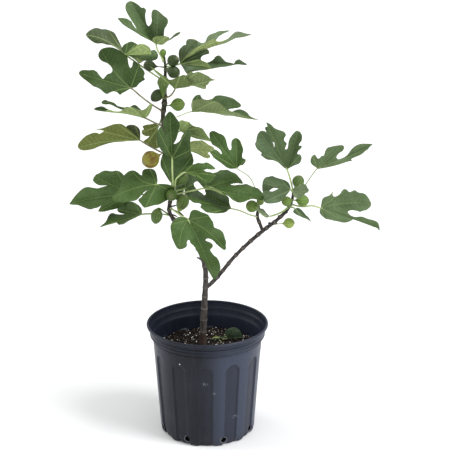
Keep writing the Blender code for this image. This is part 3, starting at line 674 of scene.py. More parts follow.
    def crumb(self, name: str, dark: Colour, light: Colour, size: float,
              roughness: float) -> bpy.types.Material:
        """Give the finish of grains, chips and scraps: two colours in patches, and a rough face.

        Args:
            name: The material's name.
            dark: Its darker colour.
            light: Its lighter colour.
            size: How fine the patches are.
            roughness: The face's roughness.

        Returns:
            The material.
        """
        material, bench = self.start(name)
        cloud = bench.group(self.mottle, where=bench.place(), size=size, speck_amount=0.5)
        bench.coat(bench.mix(cloud["Patch"], dark, light), roughness, bench.bump(cloud["Grain"], 0.0004, 0.8))
        return material


Place = tuple[float, float, float]
Spot = tuple[float, float]


class Side(Enum):
    """Which side of a leaf faces the eye, as 1 or -1."""

    UPPER = 1
    UNDER = -1


class Sheet(NamedTuple):
    """One sheet of a leaf, drawn as the eye sees it, clockwise from the leaf's base, in mm.

    tips are the lobes' tips as (across, up, near), and may end with how far the lobe's vein bends aside. edge
    is the outline as (across, up), without the base. A sheet may have a tone of its own.
    """

    side: Side
    tips: tuple[tuple[float, ...], ...]
    edge: tuple[Spot, ...]
    tone: Tone | None = None


@dataclass(frozen=True)
class LeafPlan:
    """One leaf: its base and its stalk's places as in_view takes them, its bow and its sheets.

    rind is the colour of its stalk, and slim how thick that is against the others.
    """

    name: str
    tone: Tone
    base: Place
    stalk: tuple[Place, ...]
    bow: float
    sheets: tuple[Sheet, ...]
    rind: Rind = Rind.GREEN
    tooth: float = 0.45
    slim: float = 1.0


@dataclass(frozen=True)
class FigPlan:
    """One fig, from its root on the stem to its eye, with its greatest radius, in mm.

    flare is how much of its neck widens into its body, and stretch how much longer its body is than wide. A
    fig that hangs off its neck at an angle has the place where it does.
    """

    name: str
    ripeness: Ripeness
    root: Place
    eye: Place
    radius: float
    flare: float = 0.25
    hung: Place | None = None
    stretch: float = 1.0


LEAVES = (
    LeafPlan("leaf_crown", Tone.CROWN, (-96, 809, 0),
             ((-82, 775, 0), (-87, 786, 3), (-94, 799, 3)), 4, (
        Sheet(Side.UPPER, ((-167, 858, 60), (-143, 890, 0), (-90, 872, 22), (-50, 831, 50, 5)), (
            (-108, 816), (-122, 823), (-134, 831), (-158, 846), (-163, 851), (-168, 858.5),
            (-154, 857.5), (-143, 851), (-140, 845), (-133, 837), (-138, 846), (-150, 864),
            (-154, 874), (-153, 883), (-149, 888.5), (-142, 890.5), (-128, 883.5), (-123, 878.5),
            (-118, 878), (-114.5, 874), (-115.5, 864), (-112, 847), (-109, 844), (-105.5, 846.5),
            (-103, 853), (-104, 862), (-103, 870), (-100, 874.5), (-94, 874), (-78.5, 862),
            (-73.5, 858), (-72, 852), (-75, 844), (-79, 838), (-79, 821), (-75, 818), (-72, 816.5),
            (-61, 827), (-55, 831), (-49.5, 831.5), (-52, 827), (-60, 822.5), (-67, 817.5), (-73, 815),
            (-84, 808))),
        Sheet(Side.UNDER, ((-101, 821, 26), (-76, 822, 42)), (
            (-103, 816), (-100, 821.5), (-80, 824), (-73, 821), (-72, 816.5), (-78, 812), (-84, 807.5)),
            Tone.PALE),
    ), Rind.PALE),
    LeafPlan("leaf_top_left", Tone.PALE, (-155, 788, -36),
             ((-84, 738, -2), (-110, 756, -46), (-132, 771, -45)), 4, (
        Sheet(Side.UPPER, ((-229, 826, -48, 8), (-163, 800, -60)), (
            (-163, 794), (-178, 806), (-190, 808), (-200, 810), (-211, 810), (-220, 815), (-230, 827),
            (-226, 832), (-211, 838.5), (-200, 836.5), (-190, 837), (-175.5, 831), (-172, 825))),
        Sheet(Side.UPPER, ((-150, 815, -70), (-136, 808, -62)), (
            (-160, 795), (-161, 801), (-158, 807), (-145, 812.5), (-131, 806), (-138, 800)), Tone.DEEP),
        Sheet(Side.UNDER, ((-120, 809, -46), (-100, 790, -30)), (
            (-150, 794), (-131, 807.5), (-122, 809.5), (-108, 802), (-106, 785), (-110, 777),
            (-119, 776.5), (-129, 771.5), (-134, 776), (-147, 785))),
        Sheet(Side.UPPER, ((-112, 797, -44, 4), (-95, 786, -28)), (
            (-128, 790), (-111, 797), (-107, 796), (-99, 797.5), (-93.5, 792), (-92.5, 785),
            (-96, 779), (-113, 776.5), (-122, 780)), Tone.CROWN),
    )),
    LeafPlan("leaf_top_right", Tone.SILVER, (-50, 771, -24), ((-80, 765, 0), (-66, 767, -21)), 4, (
        Sheet(Side.UPPER, ((-44, 808, -45), (-28, 819, -70), (44, 835, -82, -4),
                           (86, 828, -40, -10), (2, 799, 0, -8)), (
            (-52, 779), (-52, 797), (-43, 807), (-38.5, 808), (-38.5, 813), (-35, 818), (-23, 818),
            (-9, 811.5), (-3, 812), (4, 823), (17, 829), (24, 833), (45, 835), (30, 827), (23, 822),
            (19.5, 816), (23, 812.5), (31, 813), (38, 818), (52, 828.5), (60, 832), (76, 829),
            (87, 828), (65, 820.5), (54, 818), (33, 811), (2, 799.5), (-13, 795.5), (-27, 790),
            (-39, 782))),
        Sheet(Side.UPPER, ((4, 796, 0), (76, 770, 50), (-20, 758, 66)), (
            (-39, 782), (-27, 790), (-13, 795.5), (2, 799.5), (5.5, 796), (6, 790.5), (-2, 788),
            (-8, 785), (-10, 780), (-6.5, 775.5), (0, 773), (13, 778.5), (20, 784.5), (27, 785.5),
            (38, 775), (47, 773), (54, 771.5), (57, 776), (64, 779), (71, 775), (78, 769.5), (57, 768),
            (0, 760), (-28, 756.5), (-38, 752.5), (-46, 766)), Tone.GREYED),
        Sheet(Side.UNDER, ((-12, 779, 36), (6, 765, 60)), (
            (-36, 774), (-15, 779), (-6, 775.5), (3, 771), (9, 762), (-28, 756), (-38, 752.5),
            (-42, 758))),
        Sheet(Side.UNDER, ((-12, 803, 14), (38, 818, 18, -7)), (
            (-43, 782), (-34, 790), (-22, 800), (-8, 807), (15, 816), (22, 814), (31, 815.5),
            (42, 820.5), (32, 812), (2, 799.5), (-13, 794.5), (-27, 788.5), (-39, 780.5)), Tone.BLANCHED),
    ), Rind.PALE),
    LeafPlan("leaf_small_right", Tone.PALE, (-61, 722, 40), ((-81, 703, 2), (-68, 710, 30)), 4, (
        # This sheet takes a darker underside tone because it lies in shade: painted shade.
        Sheet(Side.UNDER, ((-105, 763, 66), (-50, 748, 70)), (
            (-94, 750), (-107, 764), (-84, 749), (-70, 739), (-50, 748), (-42, 749), (-37, 740),
            (-30, 731), (-33, 726), (-42, 725), (-51, 723)), Tone.DEEP),
        Sheet(Side.UNDER, ((-42, 746, 71, 7), (-14, 756, 79), (17, 740, 85), (-2, 722, 60, -9)), (
            (-52, 728), (-45, 735), (-43, 745), (-37, 749), (-30, 754), (-24, 752), (-17, 755.5),
            (-11, 755), (-4, 750.5), (4, 746.5), (10, 742), (18, 740), (12, 738), (6, 735), (4, 730),
            (0, 727), (-1.5, 721.5), (-15, 724), (-22, 727), (-30, 728), (-40, 725)),
            Tone.GREYED),
    ), Rind.BROWN),
    LeafPlan("leaf_big_left", Tone.DEEP, (-146, 723, 22),
             ((-86, 678, 1), (-105, 690, 15), (-126, 706, 21)), 4, (
        Sheet(Side.UPPER, ((-190, 713, 42, 2), (-244, 752, 30), (-200, 796, -12, -6), (-130, 768, 6)), (
            (-156, 717), (-163, 713.5), (-168, 710), (-173, 715), (-180, 716.5), (-187, 714),
            (-193, 711.5), (-206, 721), (-212, 724), (-219, 726.5), (-231, 737), (-243, 747),
            (-246, 752.5), (-243, 757), (-236, 759), (-227, 758.5), (-218, 758.5), (-212, 755.5),
            (-199.5, 741.5), (-196, 745), (-191, 750), (-185, 752), (-181.5, 756.5), (-182, 762),
            (-185.5, 767.5), (-192, 772.5), (-200, 775.5), (-205, 779.5), (-207.5, 786), (-206, 793),
            (-201, 799), (-184, 802.5), (-174, 800), (-153, 786), (-149, 768), (-146, 762),
            (-143, 766), (-141, 774), (-137, 775.5), (-132, 770), (-121, 758), (-119, 751.5),
            (-121, 745.5), (-119, 740), (-125, 736), (-131, 731), (-136, 725.5))),
    ), Rind.BROWN),
    LeafPlan("leaf_flat_left", Tone.PALE, (-120, 664, 0), ((-84, 648, 0), (-100, 654, 0)), 4, (
        Sheet(Side.UPPER, ((-218, 681, 0, 3), (-155, 686, -50), (-136, 688, -56)), (
            (-158, 672.5), (-203, 677), (-219, 681.5), (-206, 687.5), (-199, 686), (-193, 682.5),
            (-168, 677.5), (-156, 687), (-149, 686.5), (-144, 689), (-138, 689.5), (-129, 682),
            (-122, 674)), Tone.DEEP),
        Sheet(Side.UPPER, ((-202, 694, -60, 6), (-180, 692, -64)), (
            (-134, 670), (-146, 676), (-158, 680), (-168, 682), (-186, 690), (-202, 692),
            (-204, 695.5), (-198, 698), (-180, 694.5), (-173, 688.5), (-152, 684), (-138, 682)), Tone.DEEP),
        Sheet(Side.UNDER, ((-190, 679, 20, 2), (-147, 684, 40), (-108, 690, 44)), (
            (-158, 672.5), (-197, 677.5), (-190, 681), (-180, 678.5), (-168, 677.5), (-161, 682),
            (-154, 685.5), (-147, 686), (-133, 680), (-126, 679), (-119, 682), (-113, 688),
            (-107, 692), (-106, 684), (-110, 675), (-114, 668))),
    ), Rind.BROWN),
    LeafPlan("leaf_long_left", Tone.OLIVE, (-130, 619, -18), ((-80, 590, 0), (-104, 603, -12)), 4, (
        Sheet(Side.UPPER, ((-160, 648, -40), (-140, 649, -52)), (
            (-145, 626), (-163, 642), (-158, 646), (-152, 650), (-140, 650), (-131, 641))),
        Sheet(Side.UNDER, ((-253, 604, 2, 6), (-217, 641, 10), (-172, 651, 6)), (
            (-145, 618), (-160, 617.5), (-190, 613.5), (-212, 606.5), (-222, 602), (-242, 598.5),
            (-249.5, 601), (-253.5, 606), (-251.5, 612), (-239, 625.5), (-231, 629.5), (-223, 633),
            (-216, 634), (-210, 632.5), (-205, 635.5), (-201, 638.5), (-218, 641.5), (-206, 643),
            (-180, 651.5), (-170, 652.5), (-162, 649.5), (-143, 631))),
    ), Rind.BROWN),
    LeafPlan("leaf_behind_left", Tone.OLIVE, (-93, 648, -50), ((-83, 666, -2), (-89, 660, -36)), 3, (
        Sheet(Side.UNDER, ((-97, 607, -80, 3), (-118, 610, -69), (-126, 636, -75)), (
            (-95, 638), (-94, 626), (-90, 615), (-92, 606), (-98, 602.5), (-105, 604), (-112, 608),
            (-120, 611.5), (-125, 616.5), (-113, 627), (-121, 627.5), (-127, 632), (-127, 638),
            (-122, 642.5), (-124.5, 647), (-118, 650.5), (-110, 651.5), (-101, 653))),
    )),
    LeafPlan("leaf_front", Tone.DEEP, (-68, 581, 51),
             ((-67, 522, 3), (-67, 532, 26), (-68, 555, 44)), 4, (
        Sheet(Side.UPPER, ((-95, 640, 66), (-71, 676, 42), (-38, 640, 66), (-30, 600, 80)), (
            (-74, 583), (-86, 595), (-91, 601), (-98, 621), (-97, 633), (-88.5, 648), (-84.5, 641),
            (-77.5, 628.5), (-80, 637), (-84, 648), (-83.5, 658), (-72, 677), (-65.5, 673), (-60, 664),
            (-54.5, 657), (-52, 648), (-54, 639), (-60, 620), (-64, 612), (-56, 615.5), (-51, 621),
            (-47, 630), (-36, 641.5), (-31.5, 636), (-31.5, 612), (-31, 600), (-30, 593), (-34, 587),
            (-53, 579))),
    ), Rind.PALE),
    LeafPlan("leaf_front_lower", Tone.DEEP, (-69, 531, 16), ((-68, 519, 3), (-70, 523, 13)), 2, (
        Sheet(Side.UPPER, ((-88, 585, 22), (-66, 606, 18), (-30, 585, 20)), (
            (-74, 536), (-86, 557), (-90.5, 566), (-91, 576), (-85, 595), (-79, 602), (-70, 606),
            (-31, 594), (-27, 585), (-26, 575), (-32, 562), (-42, 551), (-62, 535))),
    )),
    LeafPlan("leaf_flat_right", Tone.GREYED, (-28, 677, 0), ((-84, 655, 0), (-56, 667, 0)), 4, (
        Sheet(Side.UPPER, ((-16, 708, -68), (24, 709, -87), (68, 690, -60), (101, 660, 0, -4)), (
            (-29, 686), (-28, 697), (-24, 704), (-18, 708), (-12, 708), (-8, 702), (-3, 700.5),
            (12, 703), (18, 708), (25, 708.5), (34, 706.5), (43, 705), (52, 702), (60, 697), (67, 692),
            (67.5, 688), (62, 684.5), (52, 683), (43, 682), (50, 677), (58, 679.5), (66, 680.5),
            (79, 673.5), (85, 667), (101, 660.5), (25, 672), (-15, 677)), Tone.DEEP),
        Sheet(Side.UNDER, ((-26, 700, 40), (18, 698, 68), (50, 677, 52), (101, 660, 0, -4)), (
            (-29.5, 690), (-27.5, 697), (-18, 700), (-8, 699.5), (4, 700), (14, 698.5), (22, 695),
            (30, 688.5), (46, 678.5), (64, 672), (76, 667.5), (101, 660.5), (25, 672), (-15, 677))),
    ), Rind.PALE, slim=0.6),
    LeafPlan("leaf_back_right", Tone.PALE, (-52, 638, -75), ((-78, 612, -2), (-66, 625, -51)), 4, (
        # This sheet takes a darker underside tone because it lies in shade: painted shade.
        Sheet(Side.UNDER, ((-26, 650, -106), (-14, 644, -118), (6, 618, -115)), (
            (-34, 654), (-27, 649), (-22, 646.5), (-14, 645), (-8, 641), (9, 617), (2, 618), (-24, 624)),
            Tone.DEEP),
        Sheet(Side.UNDER, ((-50, 660, -90), (-36, 656, -98)), (
            (-56, 646), (-55, 655), (-50, 660), (-40, 658), (-32, 655), (-38, 640), (-42, 633))),
    )),
    LeafPlan("leaf_pale_right", Tone.PALE, (-46, 602, -24), ((-75, 588, -2), (-60, 595, -21)), 4, (
        Sheet(Side.UNDER, ((-18, 617, -60), (14, 601, -30), (4, 584, 9)), (
            (-40, 611), (-30, 617), (-18, 618.5), (-7, 618.5), (13, 604), (16, 600), (3, 594.5),
            (7, 589), (5, 583), (-3, 583), (-19, 592)), Tone.BLANCHED),
    )),
    LeafPlan("leaf_mitten", Tone.FRESH, (60, 562, 12),
             ((103, 484, 0), (98, 515, -9), (84, 545, 0)), 4, (
        Sheet(Side.UPPER, ((9, 594, 36), (10, 635, 15), (58, 623, 6), (76, 579, 24)), (
            (47, 561.5), (40, 564), (26, 575), (13, 585), (10, 590), (6.5, 595), (12, 598.5),
            (17, 601), (21, 599), (29, 590.5), (28.5, 596), (24, 603), (17, 608), (10, 612), (5, 630),
            (7, 636), (12, 638), (18, 637), (24, 633.5), (31, 630.5), (35, 626), (38, 619),
            (41.5, 605), (44, 600.5), (46.5, 599.5), (48.5, 603), (48.5, 612), (50, 619), (55, 623.5),
            (61, 623), (66, 618.5), (71.5, 606), (72.5, 598), (70.5, 591), (71, 584), (74, 582),
            (77.5, 580.5), (72, 569.5), (66, 568))),
    ), Rind.PALE, slim=0.6),
    LeafPlan("leaf_low_front", Tone.FRESH, (-44, 554, 51),
             ((-65, 518, 2), (-63, 530, 24), (-60, 541, 40)), 4, (
        Sheet(Side.UPPER, ((-26, 571, 44), (15, 562, 39), (17, 548, 57), (-2, 536, 80, -2)), (
            (-44, 560), (-38, 566), (-24, 571), (-17, 573.5), (-8, 572.5), (0, 574.5), (13, 566.5),
            (17, 561), (12, 559.5), (5, 560), (0, 561), (-6, 557.5), (-2, 554.5), (5, 554), (18, 549),
            (15, 543), (8, 537), (-6, 528), (-11, 533), (-17, 541), (-25, 547), (-35, 550))),
    ), Rind.PALE),
    LeafPlan("leaf_right_arm", Tone.FRESH, (-5, 521, 18),
             ((-70, 510, 1), (-57, 510, 8), (-25, 517, 16)), 4, (
        Sheet(Side.UPPER, ((8, 548, -30), (62, 543, -21), (115, 500, 45), (60, 492, 64, -9)), (
            (-13, 530), (-17, 536), (-10, 542), (0, 545), (8, 548), (15, 551.5), (21, 553),
            (27, 557.5), (34, 558.5), (41, 559), (48, 555), (62, 545), (71.5, 530.5), (62, 529.5),
            (47, 527), (55, 525), (63, 526.5), (71, 528), (79, 530.5), (94, 523.5), (102, 519.5),
            (108, 513.5), (114, 507), (117, 500), (108, 496.5), (89, 499), (72, 491.5), (63, 491.5),
            (49, 499), (44, 504), (27, 514), (6, 520))),
        Sheet(Side.UNDER, ((34, 509, 30, -2), (12, 523, 24)), (
            (-6, 525), (2, 526.5), (20, 519.5), (38, 507), (30, 508), (18, 514), (6, 519)), Tone.GREYED),
    ), Rind.PALE),
    LeafPlan("leaf_dark_right", Tone.DEEP, (-44, 520, -36), ((-68, 514, -2), (-56, 517, -27)), 4, (
        Sheet(Side.UPPER, ((-62, 500, -30), (-58, 530, -50), (-38, 555, -66), (-9, 542, -96),
                           (-17, 511, -66)), (
            (-52, 502), (-60, 497), (-65, 503), (-55, 545), (-48, 554), (-36, 555), (-9, 542),
            (-16, 536), (-22, 535), (-25.5, 531), (-25, 526), (-20.5, 519.5), (-5, 505), (-15, 500),
            (-28, 499), (-37, 499), (-43, 506))),
    )),
    LeafPlan("leaf_left_of_twig", Tone.FRESH, (49, 479, 15),
             ((101, 462, 1), (86, 466, 9), (68, 474, 15)), 4, (
        Sheet(Side.UPPER, ((12, 472, 60), (-32, 497, 21), (-2, 508, -25), (36, 505, -30)), (
            (44, 477), (39, 472.5), (33, 470), (7, 470), (-8, 478), (-13, 482.5), (-11, 487.5),
            (-16, 489.5), (-24, 489.5), (-30, 492), (-34, 497), (-37.5, 503), (-35, 509), (-20, 514),
            (-13, 508), (-5, 507), (-2, 511), (-4, 517), (2, 521), (10, 521), (31, 510.5), (40, 505.5),
            (44, 500), (45, 491))),
    ), Rind.PALE, slim=0.8),
    LeafPlan("leaf_hanging", Tone.FRESH, (-38, 456, 69),
             ((-72, 480, 3), (-62, 472, 24), (-50, 463, 50)), 3, (
        Sheet(Side.UPPER, ((5, 464, 81), (36, 393, 81, -7), (14, 330, 60, -3), (-54, 394, 78, 6),
                           (-70, 446, 81)), (
            (-35, 463), (-34, 469), (-31, 474.5), (-25, 477), (-18, 475.5), (-12, 472.5), (1, 468),
            (6, 463), (8.5, 457), (12, 452), (13.5, 445), (14, 440), (27, 434.5), (32, 430),
            (36.5, 417), (38.5, 410), (38, 401), (38.5, 395), (35, 391.5), (30, 395), (19, 404.5),
            (13, 411), (6, 415.5), (0, 416), (-3, 412.5), (8, 407), (12, 402), (10.5, 397), (7, 393),
            (15, 381.5), (21, 376), (27, 351), (20, 335.5), (14, 328.5), (6.5, 340), (2, 348),
            (-5, 366), (-10, 372), (-15, 379), (-18.5, 387), (-28, 401.5), (-33, 406), (-35.5, 412.5),
            (-38, 413.5), (-40.5, 408), (-40, 401), (-43, 396.5), (-55, 392.5), (-61, 396.5),
            (-68, 412), (-71.5, 422), (-73, 443), (-70, 450), (-65, 455.5), (-59, 461), (-51, 462),
            (-43, 460))),
    ), Rind.PALE),
    LeafPlan("leaf_far_left", Tone.FRESH, (-150, 508, -60), ((-73, 502, -2), (-110, 508, -45)), 4, (
        Sheet(Side.UPPER, ((-214, 475, -6), (-273, 490, -48, 4), (-222, 546, -99), (-178, 555, -99)), (
            (-157, 496), (-166, 486), (-176, 480), (-196, 475), (-207, 472.5), (-217, 473.5),
            (-211, 485.5), (-217, 481.5), (-225, 479.5), (-233, 477.5), (-257, 485), (-266, 486),
            (-274, 489), (-270, 495), (-259, 509), (-245, 521), (-237, 523), (-228, 521.5),
            (-218, 521), (-210, 523.5), (-198, 526.5), (-214, 528), (-220.5, 531), (-225.5, 537),
            (-224.5, 543), (-220, 549), (-213, 552), (-205, 556), (-197, 557.5), (-188, 557),
            (-179, 558), (-171, 555), (-165, 549), (-147, 516))),
    )),
    LeafPlan("leaf_mid_left", Tone.FRESH, (-99, 529, 21), ((-71, 516, 1), (-84, 523, 15)), 4, (
        Sheet(Side.UPPER, ((-66, 514, 9), (-122, 482, 57), (-188, 501, 33, 6), (-146, 556, -2, -8),
                           (-113, 561, -9)), (
            (-92, 530.5), (-73, 528.5), (-66, 523), (-63, 514.5), (-66, 506), (-73, 500), (-81, 496),
            (-96, 487.5), (-106, 486), (-116, 483), (-125, 480.5), (-131, 488), (-136.5, 497),
            (-130, 503.5), (-123.5, 510), (-117, 515.5), (-125, 511.5), (-140, 497.5), (-146, 495),
            (-154, 494.5), (-165, 491.5), (-176, 493), (-185, 495), (-189, 499), (-187.5, 505),
            (-176, 517.5), (-171.5, 525), (-169.5, 533), (-168.5, 541), (-165.5, 547.5), (-155, 556),
            (-148, 558), (-141, 556.5), (-134.5, 552), (-129, 548), (-128, 553.5), (-126, 559),
            (-120, 562), (-106, 560.5), (-101, 555), (-97.5, 537))),
    )),
    LeafPlan("leaf_low_left", Tone.FRESH, (-130, 467, -9), ((-76, 466, 0), (-100, 468, -21)), 4, (
        Sheet(Side.UPPER, ((-173, 446, 20), (-213, 442, -9), (-177, 477, -50), (-146, 491, -40)), (
            (-147, 458), (-156, 454), (-168, 446), (-174, 445.5), (-179, 447.5), (-181, 450.5),
            (-187, 449), (-206, 443), (-214.5, 440.5), (-202, 453), (-197.5, 460), (-192, 466),
            (-187, 468), (-179, 467), (-165, 469), (-172, 470.5), (-178.5, 473.5), (-179.5, 478.5),
            (-169, 485), (-163, 490.5), (-156, 493.5), (-147, 493), (-134, 484), (-130, 477))),
    )),
    LeafPlan("leaf_branch_top", Tone.CROWN, (159, 560, 6), ((172, 512, 0), (167, 535, 3)), 4, (
        Sheet(Side.UPPER, ((108, 590, 39, 6), (106, 634, 30)), (
            (153, 563.5), (140.5, 575), (132, 578.5), (118, 581), (112, 585), (107, 589), (108, 593),
            (100, 601.5), (96, 612), (98, 618), (98.5, 624), (100.5, 631), (104.5, 636.5),
            (109.5, 638.5), (120.5, 634), (131.5, 612), (132.5, 606), (144, 587)),
            Tone.GREYED),
        Sheet(Side.UPPER, ((119, 653, 9), (179, 636, 9), (184, 589, 33)), (
            (152, 566), (137, 591), (133, 599), (133, 614), (128, 618), (123.5, 627), (118, 635),
            (114.5, 645.5), (119, 647), (117, 655), (127.5, 650), (132, 645), (138.5, 641.5),
            (152.5, 636), (155.5, 630), (152.5, 623.5), (153, 618), (157.5, 613.5), (154.5, 602),
            (158.5, 602.5), (161.5, 618), (165.5, 627), (177, 638.5), (187.5, 631), (187, 619),
            (183, 613.5), (182, 609), (188, 607.5), (186, 602.5), (181, 597), (179, 591.5),
            (183.5, 590.5), (187, 585), (186.5, 578), (183, 572.5), (170.5, 567))),
    ), Rind.PALE, 0.7),
    LeafPlan("leaf_far_right", Tone.CROWN, (219, 561.5, 2),
             ((171, 509, -1), (190, 521, -22), (207, 546, -9)), 4, (
        Sheet(Side.UPPER, ((211, 587, -21), (265, 608, -33), (323, 609, 0, 3), (280, 576, 30)), (
            (206, 573.5), (208, 585.5), (212.5, 589.5), (216, 587), (219.5, 582), (223, 582.5),
            (226.5, 586.5), (230.5, 587), (234.5, 598.5), (238.5, 604), (245, 606), (260.5, 609.5),
            (269, 609), (270, 604), (267.5, 598), (262.5, 593.5), (256.5, 584), (259, 581),
            (273.5, 586.5), (285.5, 601.5), (293, 607.5), (312, 611), (326, 611.5), (321.5, 605.5),
            (318.5, 600), (312.5, 595.5), (307, 591.5), (284.5, 581.5), (287, 578), (279, 576),
            (258.5, 569.5), (230, 562.5))),
    ), slim=0.6),
    LeafPlan("leaf_low_right", Tone.CROWN, (227, 480, 2),
             ((168, 488, 0), (190, 483, 0), (211, 485, 2)), 4, (
        Sheet(Side.UPPER, ((251, 511, -30), (273, 516, -39), (325, 490, 0, -5), (344, 438, 45),
                           (275, 452, 56), (234, 463, 39)), (
            (230.5, 499), (235.5, 503), (241.5, 505.5), (247, 509.5), (252, 515.5), (250.5, 508.5),
            (252.5, 505), (258.5, 505), (263.5, 508.5), (271, 518), (275.5, 519), (279.5, 516),
            (282, 513), (286, 512), (290.5, 514.5), (295.5, 515.5), (299.5, 512), (304, 510.5),
            (310.5, 510), (316.5, 507), (327, 492), (327.5, 485.5), (319.5, 475.5), (312, 473),
            (305.5, 470.5), (300, 473), (287.5, 475), (282, 472), (284.5, 467), (295.5, 461),
            (311.5, 460.5), (320.5, 458), (331, 455.5), (343, 449), (346.5, 433.5), (341, 438.5),
            (334.5, 440.5), (327.5, 443.5), (298.5, 454), (293, 456.5), (289.5, 453.5), (278.5, 450),
            (271, 450), (263, 452.5), (245.5, 456), (237.5, 457.5), (233, 461.5), (228.5, 465.5),
            (225.5, 470.5), (225.5, 475.5))),
    ), Rind.PALE, 0.7),
    LeafPlan("leaf_branch_left", Tone.GREYED, (167, 518, 21), ((171, 514, 2), (169, 516, 14)), 3, (
        Sheet(Side.UPPER, ((116, 494, 50),), (
            (148.5, 495), (140.5, 491.5), (121, 490), (114, 493.5), (113, 501), (112, 514),
            (118, 516.5), (124, 516), (129, 515), (145, 522), (156, 523))),
        Sheet(Side.UPPER, ((114, 532, 30), (146, 541, 4)), (
            (158, 516), (140, 521.5), (132, 522), (122, 515), (116, 513), (111.5, 514), (111.5, 536.5),
            (116, 542.5), (123, 544), (129.5, 546.5), (142.5, 542), (157, 537), (163, 532), (166, 525))),
    ), tooth=0.7),
    LeafPlan("leaf_branch_front", Tone.SILVER, (172, 515, 42), ((173, 510, 2), (174, 513, 27)), 2, (
        Sheet(Side.UPPER, ((188, 530, 50), (200, 516, 60), (180, 502, 60)), (
            (173.5, 521), (190.5, 530.5), (197, 528), (199.5, 523), (202.5, 518), (201, 513),
            (196.5, 511), (194, 506), (189, 502), (181, 500), (174, 503.5), (170.5, 509))),
    )),
    LeafPlan("leaf_branch_low", Tone.SILVER, (176, 479, 18), ((165, 484, 1), (170, 482, 12)), 2, (
        Sheet(Side.UPPER, ((207, 452, 5), (188, 462, 30)), (
            (181, 481), (187, 478.5), (198, 466), (204, 460), (208, 452), (200, 457), (178, 467),
            (172, 473)), Tone.GREYED),
    )),
    LeafPlan("leaf_twig", Tone.SILVER, (126, 463, 27), ((163, 482, 1), (146, 470, 21)), 2, (
        Sheet(Side.UPPER, ((113, 464, 45), (103, 477, 45), (112, 478, 21)), (
            (120, 460), (108, 467), (102, 472), (101, 480), (107, 479), (113, 478), (118, 471))),
    )),
)

FIGS = (
    FigPlan("fig_bud", Ripeness.BRIGHT, (-82, 781, 0), (-83, 799, 2), 6.4, 0.6),
    # These four figs hang in shade and take the darkest skin: painted shade.
    FigPlan("fig_crown_right", Ripeness.DARK, (-79, 768, 2), (-55, 782, 14), 11.4),
    FigPlan("fig_under_crown", Ripeness.DARK, (-80, 762, 3), (-52.5, 750, 16), 11.8, 0.7),
    FigPlan("fig_dark_left", Ripeness.DARK, (-80, 764, -1), (-120, 768, -16), 11.0),
    FigPlan("fig_left_upper", Ripeness.DARK, (-82, 722, 1), (-106, 699, 4), 11.0, 0.5, None, 1.25),
    FigPlan("fig_pear", Ripeness.GREEN, (-84, 703, 5), (-83, 745, 19), 12.0, 0.85),
    FigPlan("fig_bright", Ripeness.BRIGHT, (-82, 688, 1), (-43, 692, 10), 12.7),
    FigPlan("fig_ripe", Ripeness.RIPE, (-77, 598, 3), (-125, 573, 34), 17.0),
    FigPlan("fig_low_left", Ripeness.GREEN, (-78, 468, 3), (-104, 448, 14), 11.6, 0.6,
            (-97, 480, 9), 1.34),
    FigPlan("fig_facing", Ripeness.GREEN, (-69, 512, 4), (-71, 504, 36), 11.6),
    FigPlan("fig_front_dark", Ripeness.TURNING, (-70, 478, 4), (-42, 507, 24), 12.6, 0.8,
            (-57, 472, 16), 1.3),
    FigPlan("fig_small_right", Ripeness.GREEN, (-64, 522, 1), (-41, 550, 14), 11.5, 0.5, None, 1.2),
    FigPlan("fig_tip_right", Ripeness.GREEN, (172, 517, 0), (187, 546, 2), 12.0),
    FigPlan("fig_tip_low", Ripeness.BRIGHT, (170, 497, 2), (203, 495, 10), 12.0),
    FigPlan("fig_tip_left", Ripeness.BRIGHT, (169, 497, 3), (151, 492, 16), 10.0),
    FigPlan("fig_branch", Ripeness.YELLOW, (131, 446, 2), (175, 449.5, 10), 10.6, 0.1),
    FigPlan("fig_twig_left", Ripeness.BRIGHT, (101, 476, 2), (82, 489.5, 16), 12.2),
    FigPlan("fig_twig_tip", Ripeness.BRIGHT, (103, 482, 2), (107.5, 497, 26), 7.4),
)

# The limbs of the stem, from foot to tip, as (across, up, near, radius) places in mm
TRUNK = (
    (-9, 110, 0, 7.0), (-9, 182, 0, 7.0), (-9, 210, 0, 7.1), (-7, 250, 0, 6.7), (-5, 290, 0, 6.0),
    (-3, 325, 0, 5.4), (-4, 352, 0, 4.9), (-12, 382, -2, 4.6), (-30, 415, -3, 4.4), (-52, 441, -2, 4.2),
    (-68, 458, 0, 4.1), (-75, 474, 0, 4.0), (-73, 496, 0, 3.9), (-67, 524, 0, 3.9), (-72, 560, 0, 3.8),
    (-78, 600, 0, 3.7), (-83, 640, 0, 3.8), (-85, 668, 0, 4.2), (-82, 690, 0, 4.9), (-81, 708, 0, 4.2),
    (-80, 735, 0, 3.3), (-79, 765, 0, 2.6), (-81, 785, 0, 2.2),
)
BRANCH = (
    (-4, 308, 0, 3.4), (8, 320, 0, 4.0), (22, 335, 0, 3.9), (54, 376, 2, 3.8), (86, 409, 4, 3.8),
    (113, 433, 4, 3.9), (140, 455, 3, 3.6), (160, 476, 0, 3.4), (170, 498, 0, 3.0), (172, 520, 0, 2.4),
)
TWIG = ((112, 432, 4, 3.4), (107, 445, 2, 3.3), (101, 462, 0, 3.4), (102, 474, 0, 3.3), (104, 485, 0, 2.8))
STUB = ((-5, 360, 0, 2.2), (-11, 370, 0, 2.0), (-20, 376, 1, 1.6))

